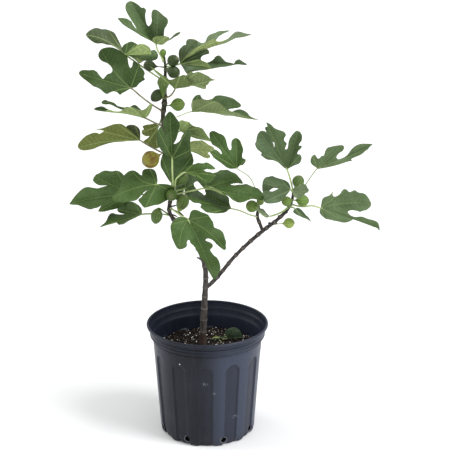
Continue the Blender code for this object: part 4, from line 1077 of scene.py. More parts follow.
# The short spurs that single figs and leaves stand on, in the same way
SPURS = (
    ((-74, 484, 0, 1.8), (-66, 484.5, 6, 1.5), (-59, 487, 10, 1.1)),
    ((-73, 467, 0, 1.9), (-65, 465, 4, 1.6), (-60, 462.5, 8, 1.2)),
    ((-64, 475, 3, 1.6), (-54, 470, 18, 1.7), (-47, 464, 24, 1.3)),
    ((127, 445, 4, 3.0), (125.5, 447.5, 5, 3.2), (124.5, 449, 6, 2.6)),
    ((146, 460, 3, 3.0), (144.5, 462.5, 5, 3.1), (143.5, 464, 6, 2.4)),
    ((157, 473, 1, 3.0), (159.5, 471.5, 3, 3.1), (161, 470.5, 4, 2.4)),
)

SPROUT = LeafPlan("sprout", Tone.SEEDLING, (46, 201, -30),
                  ((12, 188, -35), (17, 197, -34), (33, 201, -32)), 3, (
    Sheet(Side.UPPER, ((39, 214, -24), (57, 223, -34), (74, 203, -36)), (
        (40, 203), (36, 208), (37, 214.5), (43, 220), (52, 223.5), (61, 222), (67, 215.5), (71, 208),
        (75, 201.5), (66, 200), (56, 198))),
), Rind.YOUNG)


class SheetShape:
    """Hangs one drawn sheet of a leaf in depth by the tips of its lobes.

    A flat place is what the eye sees of it: across and up from the leaf's base, in metres, with +z towards
    the eye. Turns run clockwise from straight up.
    """

    STEP = 0.0004

    def __init__(self, plan: LeafPlan, sheet: Sheet) -> None:
        """Work out the turn, length and slope of each lobe."""
        across, up, near = plan.base
        self.origin = plan.base
        self.base = in_view(*plan.base)
        self.bow = plan.bow
        self.toward = sheet.side.value
        self.edge = [Vector((x - across, y - up)) * MM for x, y in sheet.edge]
        self.turns: list[float] = []
        self.lengths: list[float] = []
        self.slopes: list[float] = []
        self.bends: list[float] = []
        for tip in sheet.tips:
            flat = Vector((tip[0] - across, tip[1] - up)) * MM
            turn = math.atan2(flat.x, flat.y)
            if self.turns:
                turn = self.turns[-1] + (turn - self.turns[-1]) % FULL_TURN
            self.turns.append(turn)
            self.lengths.append(flat.length)
            self.slopes.append((tip[2] - near) * MM / flat.length)
            self.bends.append(sum(tip[3:]) * MM)
        self.main = self.lengths.index(max(self.lengths))
        self.middle = (self.turns[0] + self.turns[-1]) / 2

    def between(self, values: Sequence[float], turn: float) -> float:
        """Give a value at a turn, eased from each lobe's to the next one's."""
        if turn <= self.turns[0]:
            return values[0]
        for i in range(len(self.turns) - 1):
            if turn <= self.turns[i + 1]:
                return blend(values[i], values[i + 1], ease(turn, self.turns[i], self.turns[i + 1]))
        return values[-1]

    def point(self, x: float, y: float) -> Vector:
        """Give the place in space of a flat place of the sheet."""
        radius = math.hypot(x, y)
        turn = math.atan2(x, y) if radius > WELD else 0.0
        turn = self.middle + (turn - self.middle + math.pi) % FULL_TURN - math.pi
        part = min(radius / self.between(self.lengths, turn), 1.0)
        across, up, near = self.origin
        near += self.between(self.slopes, turn) * radius / MM + self.bow * 4 * part * (1 - part)
        return in_view(across + x / MM, up + y / MM, near)

    def place(self, x: float, y: float, lift: float) -> Vector:
        """Give the place in space of a point over the sheet.

        Args:
            x: Its place across, from the base.
            y: Its place up, from the base.
            lift: How far it stands above the leaf's upper side.

        Returns:
            The point in metres.
        """
        step = self.STEP
        across = self.point(x + step, y) - self.point(x - step, y)
        upward = self.point(x, y + step) - self.point(x, y - step)
        return self.point(x, y) + across.cross(upward).normalized() * lift * self.toward

    def on_vein(self, i: int, part: float) -> Vector:
        """Give the flat place at a part of lobe i's main vein."""
        turn = self.turns[i]
        ray = Vector((math.sin(turn), math.cos(turn)))
        aside = self.bends[i] * 4 * part * (1 - part)
        return ray * self.lengths[i] * part + Vector((ray.y, -ray.x)) * aside

    def held_in(self, spot: Vector, margin: float) -> Vector:
        """Move a flat place that lies off the sheet, or too near its edge, to a margin inside the edge."""
        ring = [Vector((0.0, 0.0)), *self.edge]
        feet = []
        inside = False
        for one, two in zip(ring, ring[1:] + ring[:1]):
            along = two - one
            part = min(max((spot - one).dot(along) / along.length_squared, 0.0), 1.0)
            feet.append(one + along * part)
            crosses = (one.y > spot.y) != (two.y > spot.y)
            if crosses and spot.x < one.x + along.x * (spot.y - one.y) / along.y:
                inside = not inside
        foot = min(feet, key=lambda at: (at - spot).length)
        if inside and (foot - spot).length >= margin:
            return spot
        return foot + (spot - foot if inside else foot - spot).normalized() * margin

    def off_vein(self, i: int, x: float, y: float) -> tuple[float, float, float]:
        """Measure a flat place from lobe i's main vein.

        Args:
            i: The lobe.
            x: The place across, from the base.
            y: The place up, from the base.

        Returns:
            How far along the vein it lies, how far aside of it, and the angle that it is off.
        """
        turn = self.turns[i]
        along = x * math.sin(turn) + y * math.cos(turn)
        aside = x * math.cos(turn) - y * math.sin(turn)
        part = min(max(along / self.lengths[i], 0.0), 1.0)
        aside -= self.bends[i] * 4 * part * (1 - part)
        return along * math.hypot(1.0, self.slopes[i]), aside, abs(math.atan2(aside, along))

    def nearest_vein(self, x: float, y: float) -> int:
        """Give the lobe whose main vein a flat place belongs to."""
        return min(range(len(self.turns)), key=lambda i: self.off_vein(i, x, y)[2])


@dataclass
class LeafMaker:
    """Builds the leaves: toothed and quilted blades, veins raised underneath, and tapered stalks."""

    finishes: Finishes
    grid: float = 0.0022
    outline_step: float = 0.0012
    blade: float = 0.0005
    tooth_run: float = 0.0044
    quilt: float = 0.0006
    quilt_edge: float = 0.004
    vein_run: float = 0.0088
    vein_lean: float = 0.72
    fold: float = 0.06
    fold_width: float = 0.02
    ripple: float = 0.0034
    ripple_scale: float = 40.0
    ripple_width: float = 0.016
    stalk_radius: float = 0.0017
    stalk_root: float = 0.0026
    vein_radius: float = 0.0008
    vein_tip: float = 0.0002
    vein_margin: float = 0.0012
    vein_end: float = 0.94
    vein_step: float = 0.006
    stalk_end: float = 0.09

    def outline(self, shape: SheetShape, tooth: float, seed: int) -> list[Vector]:
        """Draw a sheet's edge with its small rounded teeth."""
        corner = Vector((0.0, 0.0))
        ring = flow([corner, *shape.edge, corner], self.outline_step)[:-1]
        toothed = [corner]
        run = 0.0
        for i in range(1, len(ring)):
            run += (ring[i] - ring[i - 1]).length
            along = (ring[(i + 1) % len(ring)] - ring[i - 1]).normalized()
            drift = noise.noise(Vector((run * 30.0, seed, 0.5)))
            out = tooth * (abs(math.sin(math.pi * run / self.tooth_run + drift)) - 0.6)
            toothed.append(ring[i] + Vector((-along.y, along.x)) * out * ease(ring[i].length, 0.008, 0.030))
        return toothed

    def map_sheet(self, bm: bmesh.types.BMesh, shape: SheetShape) -> None:
        """Give the flat sheet its two maps: by the nearest main vein, and flat."""
        vein = bm.loops.layers.uv.new("vein")
        flat = bm.loops.layers.uv.new("flat")
        for face in bm.faces:
            middle = face.calc_center_median()
            lobe = shape.nearest_vein(middle.x, middle.y)
            for loop in face.loops:
                along, aside, _ = shape.off_vein(lobe, loop.vert.co.x, loop.vert.co.y)
                loop[vein].uv = (along / MAP_UNIT, aside / MAP_UNIT)
                loop[flat].uv = (loop.vert.co.x / MAP_UNIT, loop.vert.co.y / MAP_UNIT)

    def lift(self, shape: SheetShape, x: float, y: float, edge: float, seed: int) -> float:
        """Give how far the blade rises at a flat place: quilted between veins, folded and rippled.

        Args:
            shape: The leaf's shape.
            x: The place across the main lobe.
            y: The place along it.
            edge: How far it lies from the blade's edge.
            seed: The leaf's number.

        Returns:
            The rise in metres.
        """
        along, aside, _ = shape.off_vein(shape.nearest_vein(x, y), x, y)
        away = abs(aside)
        between = abs(math.sin(math.pi * (along - self.vein_lean * away) / self.vein_run))
        quilt = self.quilt * between * ease(away, 0.0, self.quilt_edge) * ease(edge, 0.0, self.quilt_edge)
        waved = noise.noise(Vector((x * self.ripple_scale, y * self.ripple_scale, seed * 1.7)))
        ripple = self.ripple * waved * (1.0 - ease(edge, 0.0, self.ripple_width))
        return quilt + self.fold * min(away, self.fold_width) + ripple * ease(math.hypot(x, y), 0.01, 0.03)

    def add_veins(self, bm: bmesh.types.BMesh, shape: SheetShape, seed: int) -> None:
        """Raise a round main vein along the underside of each lobe."""
        for i, length in enumerate(shape.lengths):
            count = max(5, round(length / self.vein_step))
            thick = self.vein_radius * (0.6 + 0.4 * length / max(shape.lengths))
            below = self.blade * 0.5 + thick * 0.75
            path = []
            radii = []
            for k in range(count + 1):
                part = self.vein_end * k / count
                spot = shape.on_vein(i, part)
                spot = shape.held_in(spot, min(self.vein_margin, 0.3 * spot.length))
                rise = self.lift(shape, spot.x, spot.y, self.ripple_width, seed)
                path.append(shape.place(spot.x, spot.y, rise - below))
                radii.append(blend(thick, self.vein_tip, part))
            sweep(bm, path, radii, 6, 1)

    def add_stalk(self, bm: bmesh.types.BMesh, plan: LeafPlan, shape: SheetShape) -> None:
        """Run the stalk from its flared root on the stem to its end under the main vein."""
        spot = shape.on_vein(shape.main, self.stalk_end)
        below = self.blade * 0.5 + self.stalk_radius * 0.3
        path = flow([in_view(*place) for place in plan.stalk]
                    + [shape.base, shape.place(spot.x, spot.y, -below)], 0.003)
        last = len(path) - 1
        radii = []
        for k in range(last + 1):
            root = (self.stalk_root - self.stalk_radius) * (1.0 - ease(k, 0.0, 3.0))
            end = 1.0 - 0.55 * ease(k, last - 3.0, last)
            radii.append((self.stalk_radius + root) * end * plan.slim)
        sweep(bm, path, radii, 10)

    def add_sheet(self, bm: bmesh.types.BMesh, shape: SheetShape, tooth: float, first: int,
                  seed: int) -> None:
        """Cut one sheet of a leaf, hang it in depth, give it its thickness and add it to the leaf.

        Args:
            bm: The leaf's mesh.
            shape: The sheet's shape.
            tooth: How deep the edge's teeth are.
            first: The slot of the finish of its upper side, which that of its underside follows.
            seed: The leaf's number.
        """
        ring = self.outline(shape, tooth, seed)
        rim = KDTree(len(ring))
        for i, spot in enumerate(ring):
            rim.insert((*spot, 0.0), i)
        rim.balance()
        flat = cut_sheet(ring, self.grid * (1))
        self.map_sheet(flat, shape)
        for vert in flat.verts:
            x, y, _ = vert.co
            edge = rim.find((x, y, 0.0))[2]
            vert.co = shape.place(x, y, self.lift(shape, x, y, edge, seed))
        under = (1 - shape.toward) // 2
        for face in flat.faces:
            face.smooth = True
            face.material_index = first + under
        sheet = put_mesh("sheet", flat)
        spare = bpy.data.materials.new("spare")
        for _ in range(first + 2):
            sheet.data.materials.append(spare)
        wall = sheet.modifiers.new("blade", "SOLIDIFY")
        wall.thickness = self.blade
        wall.offset = 0.0
        wall.material_offset = shape.toward
        wall.material_offset_rim = 1 - under
        bm.from_mesh(as_left_by_modifiers(sheet))
        bpy.data.materials.remove(spare)
        bpy.data.objects.remove(sheet, do_unlink=True)

    def build(self, plan: LeafPlan, seed: int) -> bpy.types.Object:
        """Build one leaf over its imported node.

        Args:
            plan: The leaf's places.
            seed: A number of its own, for its teeth and ripples.

        Returns:
            The leaf's object.
        """
        tones = [sheet.tone or plan.tone for sheet in plan.sheets]
        kinds = list(dict.fromkeys(tones))
        bm = bmesh.new()
        for i, sheet in enumerate(plan.sheets):
            shape = SheetShape(plan, sheet)
            self.add_sheet(bm, shape, plan.tooth * MM, 2 + 2 * kinds.index(tones[i]), seed)
            self.add_veins(bm, shape, seed)
            if i == 0:
                self.add_stalk(bm, plan, shape)
        finishes = [self.finishes.stalk(plan.rind), self.finishes.stalk(Rind.GREEN)]
        finishes += [self.finishes.blade(tone, upper) for tone in kinds for upper in (True, False)]
        return add_piece(plan.name + "_grown", bm, finishes, [plan.name])


@dataclass
class FigMaker:
    """Builds the figs: a neck, a ribbed pear-shaped body and a puckered eye."""

    finishes: Finishes
    sides: int = 40
    step: float = 0.0011
    neck: float = 0.0015
    neck_swell: float = 1.1
    collar: float = 0.0023
    collar_height: float = 0.0009
    bell: tuple[int, ...] = (52, 88, 132)
    rib_depth: float = 0.014
    unevenness: float = 0.03
    eye_depth: float = 0.0008
    eye_ring: tuple[tuple[float, float], ...] = ((0.20, 0.0006), (0.12, 0.0003), (0.06, -0.0006))

    def profile(self, length: float, radius: float, flare: float, stretch: float) -> list[Vector]:
        """Give the fig's half outline as (radius, height) points, from its root to its eye.

        Args:
            length: How far the eye is from the root.
            radius: The greatest radius.
            flare: How much of the neck widens into the body.
            stretch: How much longer the body is than wide.

        Returns:
            The outline's points.
        """
        half = radius * stretch
        neck_length = max(length - 2 * half, MM)
        spots = [(self.neck, self.collar_height * 2),
                 (self.neck * self.neck_swell, neck_length * (1 - flare))]
        for angle in self.bell:
            turn = math.radians(angle)
            spots.append((math.sin(turn) * radius, length - half * (1 + math.cos(turn))))
        spots.append((radius * 0.34, length - radius * 0.02))
        outline = [Vector((0.0, 0.0)), Vector((self.collar, 0.0)), Vector((self.collar, self.collar_height))]
        outline += flow([Vector(spot) for spot in spots], self.step)
        outline += [Vector((radius * part, length + rise)) for part, rise in self.eye_ring]
        return outline + [Vector((0.0, length - self.eye_depth))]

    def build(self, plan: FigPlan, seed: int) -> bpy.types.Object:
        """Turn one fig about the line from its root to its eye, press its ribs and map its skin.

        Args:
            plan: The fig's places.
            seed: A number of its own, for its uneven shape.

        Returns:
            The fig's object.
        """
        root = in_view(*(plan.hung or plan.root))
        line = in_view(*plan.eye) - root
        outline = self.profile(line.length, plan.radius * MM, plan.flare, plan.stretch)
        bm = turn_outline(outline, self.sides)
        bmesh.ops.recalc_face_normals(bm, faces=bm.faces)
        skin = bm.loops.layers.uv.new("skin")
        for face in bm.faces:
            middle = face.calc_center_median()
            facing = math.atan2(middle.y, middle.x)
            for loop in face.loops:
                turn = math.atan2(loop.vert.co.y, loop.vert.co.x) - facing
                turn = facing + (turn + math.pi) % FULL_TURN - math.pi
                loop[skin].uv = (turn / FULL_TURN, loop.vert.co.z / line.length)
            face.smooth = True
        for vert in bm.verts:
            away = math.hypot(vert.co.x, vert.co.y)
            if away > WELD:
                turn = math.atan2(vert.co.y, vert.co.x)
                body = ease(away, self.neck * 1.2, plan.radius * MM * 0.8)
                uneven = self.unevenness * noise.noise(vert.co * 70.0 + Vector((seed, 0.0, 0.0)))
                grown = 1.0 + body * (self.rib_depth * math.sin(turn * FIG_RIBS) + uneven)
                vert.co.x *= grown
                vert.co.y *= grown
        turn = Vector((0, 0, 1)).rotation_difference(line).to_matrix().to_4x4()
        bm.transform(Matrix.Translation(root) @ turn)
        if plan.hung:
            neck = flow([in_view(*plan.root), root, root + line * 0.12], 0.002)
            sweep(bm, neck, [self.neck] * len(neck), 12)
        return add_piece(plan.name + "_grown", bm, [self.finishes.fig(plan.ripeness)],
                         [plan.name])


@dataclass
class StemMaker:
    """Builds the stem: trunk, branch, twig and dry stub with knuckled nodes, ring scars and buds."""

    finishes: Finishes
    step: float = 0.0022
    sides: int = 18
    scar_heights: tuple[float, ...] = (0.2151, 0.2417, 0.2659)
    node_gaps: tuple[float, float] = (0.014, 0.026)
    node_swell: float = 0.32
    node_width: float = 0.0026
    scar_width: float = 0.0011
    bud_length: float = 0.0055
    bud_radius: float = 0.0017
    bud_foot: float = 0.0018
    bud_height: float = 0.30
    bark_lump: float = 0.00022

    def route(self, spots: Sequence[tuple[float, ...]]) -> list[Vector]:
        """Give a limb's middle line with its radius as the fourth number of each point."""
        return flow([Vector((*in_view(*spot[:3]), spot[3] * MM)) for spot in spots], self.step)

    def nodes_along(self, line: list[Vector], draw: random.Random, first: float) -> list[float]:
        """Draw how far along a limb its nodes lie, from a first place on and at uneven gaps."""
        length = sum((two.xyz - one.xyz).length for one, two in zip(line, line[1:]))
        places = []
        run = first
        while run < length - self.node_gaps[0]:
            places.append(run)
            run += draw.uniform(*self.node_gaps)
        return places

    def add_limb(self, bm: bmesh.types.BMesh, spots: Sequence[tuple[float, ...]], nodes: Sequence[float],
                 sides: int) -> None:
        """Sweep one limb whose radius swells at its nodes and wavers between them.

        Args:
            bm: The mesh that it goes into.
            spots: The limb's (across, up, near, radius) places in mm.
            nodes: How far along it the nodes lie.
            sides: How many sides it has.
        """
        line = self.route(spots)
        run = 0.0
        radii = []
        for i, spot in enumerate(line):
            if i:
                run += (spot.xyz - line[i - 1].xyz).length
            off = min((abs(run - node) for node in nodes), default=1.0)
            swell = self.node_swell * math.exp(-(off / self.node_width) ** 2)
            swell *= 0.3 + 0.7 * ease(spot.z, 0.3, 0.4)
            waver = 0.05 * noise.noise(Vector((run * 90.0, spot.w * 900.0, 0.3)))
            radii.append(spot.w * (1.0 + swell + waver))
        known = set(bm.verts)
        sweep(bm, [spot.xyz for spot in line], radii, sides)
        for vert in bm.verts:
            if vert not in known:
                vert.co += vert.normal * self.bark_lump * noise.noise(vert.co * 260.0)

    def add_bud(self, bm: bmesh.types.BMesh, foot: Vector, aim: Vector) -> None:
        """Grow a small pointed bud out of the bark."""
        path = [foot + aim * self.bud_length * part for part in (0.0, 0.3, 0.6, 0.85, 1.0)]
        sweep(bm, path, [self.bud_radius * part for part in (0.9, 1.0, 0.75, 0.4, 0.08)], 8)

    def build(self) -> bpy.types.Object:
        """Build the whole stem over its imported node."""
        draw = random.Random(11)
        bm = bmesh.new()
        trunk = self.route(TRUNK)
        foot = trunk[0].z
        low = [height - foot for height in self.scar_heights]
        rings = low + self.nodes_along(trunk, draw, low[-1] + self.node_gaps[1])
        marks: list[tuple[Vector, Vector]] = []
        for spots, sides, nodes in ((TRUNK, self.sides, rings), (BRANCH, 14, None), (TWIG, 12, None),
                                    (STUB, 10, ()), *((spur, 8, ()) for spur in SPURS)):
            line = self.route(spots)
            if nodes is None:
                nodes = self.nodes_along(line, draw, 0.02)
            self.add_limb(bm, spots, nodes, sides)
            run = 0.0
            for one, two in zip(line, line[1:]):
                gap = (two.xyz - one.xyz).length
                for node in nodes:
                    if run <= node < run + gap:
                        along = (two.xyz - one.xyz).normalized()
                        marks.append((one.xyz + along * (node - run), along))
                run += gap
        for i, (spot, along) in enumerate(marks):
            if spot.z > self.bud_height and i % 2 == 0:
                aside = along.cross(Vector((math.sin(i * 2.4), math.cos(i * 2.4), 0.3))).normalized()
                self.add_bud(bm, spot + aside * self.bud_foot, (aside + along * 1.1).normalized())
        scar = bm.verts.layers.float_color.new("scar")
        for vert in bm.verts:
            marked = 0.0
            for spot, along in marks:
                away = vert.co - spot
                if away.length < 0.012:
                    uneven = 0.0005 * noise.noise(vert.co * 400.0)
                    marked = max(marked, math.exp(-((away.dot(along) + uneven) / self.scar_width) ** 2))
            vert[scar] = (marked * 0.8, marked * 0.8, marked * 0.8, 1.0)
        return add_piece("stem_grown", bm, [self.finishes.bark()], ["stem"])


@dataclass
class PotMaker:
    """Builds the moulded pot: rolled lip, ribbed band, fluted wall, scalloped foot and drain holes."""

    finishes: Finishes
    height: float = 0.236
    lip_radius: float = 0.125
    band_radius: float = 0.1195
    wall_top_radius: float = 0.1125
    wall_foot_radius: float = 0.0985
    wall: float = 0.0020
    floor: float = 0.0030
    wall_foot: float = 0.012
    band_foot: float = 0.208
    bead: tuple[Spot, ...] = ((0.2016, 0.0), (0.2024, 0.0009), (0.2036, 0.0010), (0.2045, 0.0))
    flutes: int = 12
    flute_depth: float = 0.0032
    flute_top: float = 0.181
    flute_half: float = math.radians(7.75)
    flute_slope: float = math.radians(1.5)
    flute_turn: float = math.radians(-1.5)
    drain_holes: int = 8
    drain_radius: float = 0.0065
    drain_height: float = 0.0135
    drain_turn: float = math.radians(20.0)
    rim_radius: float = 0.0006
    scallops: int = 24
    scallop_depth: float = 0.0020
    scallop_rise: float = 0.0022
    steps: int = 360

    def wall_radius(self, height: float) -> float:
        """Give the outer radius of the tapering wall at a height."""
        part = (height - self.wall_foot) / (self.band_foot - self.wall_foot)
        return blend(self.wall_foot_radius, self.wall_top_radius, part)

    def band(self) -> list[tuple[float, float]]:
        """Give the outside from the wall's top over the band's ribs to the lip, as (radius, height)."""
        ribs = ((-0.0054, 0.2084), (-0.0052, 0.2092), (-0.0058, 0.2099), (-0.0030, 0.2106), (-0.0014, 0.2114),
                (-0.0010, 0.2128), (-0.0022, 0.2146), (-0.0025, 0.2168), (-0.0020, 0.2190), (-0.0022, 0.2202),
                (-0.0031, 0.2209), (-0.0029, 0.2216), (-0.0002, 0.2224), (0.0008, 0.2234), (0.0008, 0.2256),
                (0.0002, 0.2278), (0.0006, 0.2288), (0.0024, 0.2298))
        return [(self.band_radius + out, height) for out, height in ribs]

    def lip(self) -> list[tuple[float, float]]:
        """Give the rolled lip as (radius, height), from its underside over its crown to the inside."""
        middle = self.lip_radius - 0.0026
        foot = self.height - 0.0030
        roll = [(middle + 0.0026 * math.cos(turn), foot + 0.0030 * math.sin(turn))
                for turn in (math.radians(angle) for angle in range(-60, 181, 20))]
        return roll + [(middle - 0.0028, foot - 0.0020)]

    def profile(self) -> list[tuple[float, float]]:
        """Give the whole closed half outline, outside from the foot up and inside down again."""
        plain = [self.wall_foot + (0.160 - self.wall_foot) * k / 18 for k in range(19)]
        arch = [0.160 + 0.002 * k for k in range(1, 13)]
        rows = plain + arch + [0.190, 0.198, 0.2070]
        foot = self.wall_foot_radius
        outer = [(0.0, 0.0), (foot - 0.030, 0.0), (foot - 0.006, 0.0), (foot - 0.0035, 0.0010),
                 (foot - 0.0016, 0.0034), (foot - 0.0008, 0.0070)]
        outer += [(self.wall_radius(row), row) for row in rows[:-1]]
        outer += [(self.wall_radius(row) + rise, row) for row, rise in self.bead]
        outer += [(self.wall_radius(rows[-1]), rows[-1]), (self.wall_top_radius, self.band_foot)]
        rib = self.band_radius - self.wall
        inner = [(rib + 0.0014, 0.2290), (rib + 0.0004, 0.2262), (rib - 0.0002, 0.2236),
                 (rib - 0.0020, 0.2216), (rib - 0.0026, 0.2190), (rib - 0.0046, 0.2110),
                 (rib - 0.0066, 0.2080)]
        inner += [(self.wall_radius(row) - self.wall, row) for row in reversed(rows)]
        inner += [(foot - 0.0035, 0.006), (foot - 0.007, self.floor), (0.0, self.floor)]
        return outer + self.band() + self.lip() + inner

    def recess(self, turn: float, height: float) -> float:
        """Give how far into a flute a place of the wall is, from 0 to 1."""
        period = FULL_TURN / self.flutes
        away = abs((turn - self.flute_turn + period / 2) % period - period / 2) * self.wall_top_radius
        half = self.flute_half * self.wall_top_radius
        slope = self.flute_slope * self.wall_top_radius
        off = math.hypot(away, max(height - (self.flute_top - half), 0.0))
        return 1.0 - ease(off, half - slope / 2, half + slope / 2)

    def press(self, turn: float, radius: float, height: float) -> tuple[float, float]:
        """Press a point of the turned wall into the flutes and the foot's scallops.

        Args:
            turn: Where it is round the pot.
            radius: Its radius before pressing.
            height: Its height before pressing.

        Returns:
            Its radius and height after pressing.
        """
        radius -= self.flute_depth * self.recess(turn, height)
        wave = (0.5 - 0.5 * math.cos(turn * self.scallops)) ** 2
        low = wave * (1.0 - ease(height, 0.0030, 0.0125))
        rise = self.scallop_rise * low * ease(radius, 0.091, 0.097)
        return radius - self.scallop_depth * low, height + rise

    def turned(self) -> bmesh.types.BMesh:
        """Spin the profile and press its wall."""
        bm = turn_outline(self.profile(), self.steps // (1))
        for vert in bm.verts:
            radius = math.hypot(vert.co.x, vert.co.y)
            if radius > self.wall_foot_radius - 0.0075 and vert.co.z < self.band_foot:
                turn = math.atan2(vert.co.x, -vert.co.y)
                radius, height = self.press(turn, radius, vert.co.z)
                vert.co = Vector((math.sin(turn) * radius, -math.cos(turn) * radius, height))
        bmesh.ops.recalc_face_normals(bm, faces=bm.faces)
        return bm

    def hole_places(self) -> list[Matrix]:
        """Give the place of each drain hole's mouth, with +z pointing outwards."""
        places = []
        for i in range(self.drain_holes):
            turn = self.drain_turn + i * FULL_TURN / self.drain_holes
            radius, _ = self.press(turn, self.wall_radius(self.drain_height), self.drain_height)
            out = Vector((math.sin(turn), -math.cos(turn), 0.0))
            spot = out * radius + Vector((0.0, 0.0, self.drain_height))
            places.append(Matrix.Translation(spot) @ out.to_track_quat("Z", "Y").to_matrix().to_4x4())
        return places

    def drilled(self, bm: bmesh.types.BMesh) -> bmesh.types.BMesh:
        """Cut the drain holes and raise the thin pale rim that the mould leaves round each."""
        drills = bmesh.new()
        for place in self.hole_places():
            bmesh.ops.create_cone(drills, cap_ends=True, segments=32, radius1=self.drain_radius,
                                  radius2=self.drain_radius, depth=0.02, matrix=place)
        whole = put_mesh("pot_turned", bm)
        drill = put_mesh("drain_drills", drills)
        cut = whole.modifiers.new("drain_holes", "BOOLEAN")
        cut.operation = "DIFFERENCE"
        cut.object = drill
        cut.solver = "EXACT"
        drilled = bmesh.new()
        drilled.from_mesh(as_left_by_modifiers(whole))
        for part in (whole, drill):
            bpy.data.objects.remove(part, do_unlink=True)
        for place in self.hole_places():
            known = set(drilled.verts)
            start = (Matrix.Translation((self.drain_radius + 0.0003, 0.0, -0.0001))
                     @ Matrix.Rotation(math.pi / 2, 4, "X"))
            ring = bmesh.ops.create_circle(drilled, segments=8, radius=self.rim_radius, matrix=start)["verts"]
            loop = list({edge for vert in ring for edge in vert.link_edges})
            bmesh.ops.spin(drilled, geom=ring + loop, cent=(0, 0, 0), axis=(0, 0, 1), angle=FULL_TURN,
                           steps=36, use_merge=True)
            grown = [vert for vert in drilled.verts if vert not in known]
            bmesh.ops.remove_doubles(drilled, verts=grown, dist=WELD)
            fresh = [vert for vert in drilled.verts if vert not in known]
            rim = list({face for vert in fresh for face in vert.link_faces})
            bmesh.ops.recalc_face_normals(drilled, faces=rim)
            for face in rim:
                face.material_index = 1
            bmesh.ops.transform(drilled, matrix=place, verts=fresh)
        return drilled

    def build(self) -> bpy.types.Object:
        """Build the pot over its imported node."""
        bm = self.drilled(self.turned())
        for face in bm.faces:
            face.smooth = True
        for edge in bm.edges:
            edge.smooth = len(edge.link_faces) != 2 or edge.calc_face_angle(0.0) < math.radians(40.0)
        # A mask for the finish's painted light and shade: depth in a flute (red), a flute's sloping wall
        # (green) and the wall's inside (blue).
        layer = bm.verts.layers.float_color.new("painted_recess_shade")
        for vert in bm.verts:
            x, y, height = vert.co
            deep = self.recess(math.atan2(x, -y), height) if height < self.band_foot else 0.0
            inside = float(vert.normal.x * x + vert.normal.y * y < -0.3 * math.hypot(x, y))
            vert[layer] = (deep, 4.0 * deep * (1.0 - deep), inside, 1.0)
        rim = self.finishes.crumb("drain_rim", (0.10, 0.11, 0.13), (0.26, 0.28, 0.31), 300.0, 0.6)
        return add_piece("pot_moulded", bm, [self.finishes.pot(), rim], ["pot"])


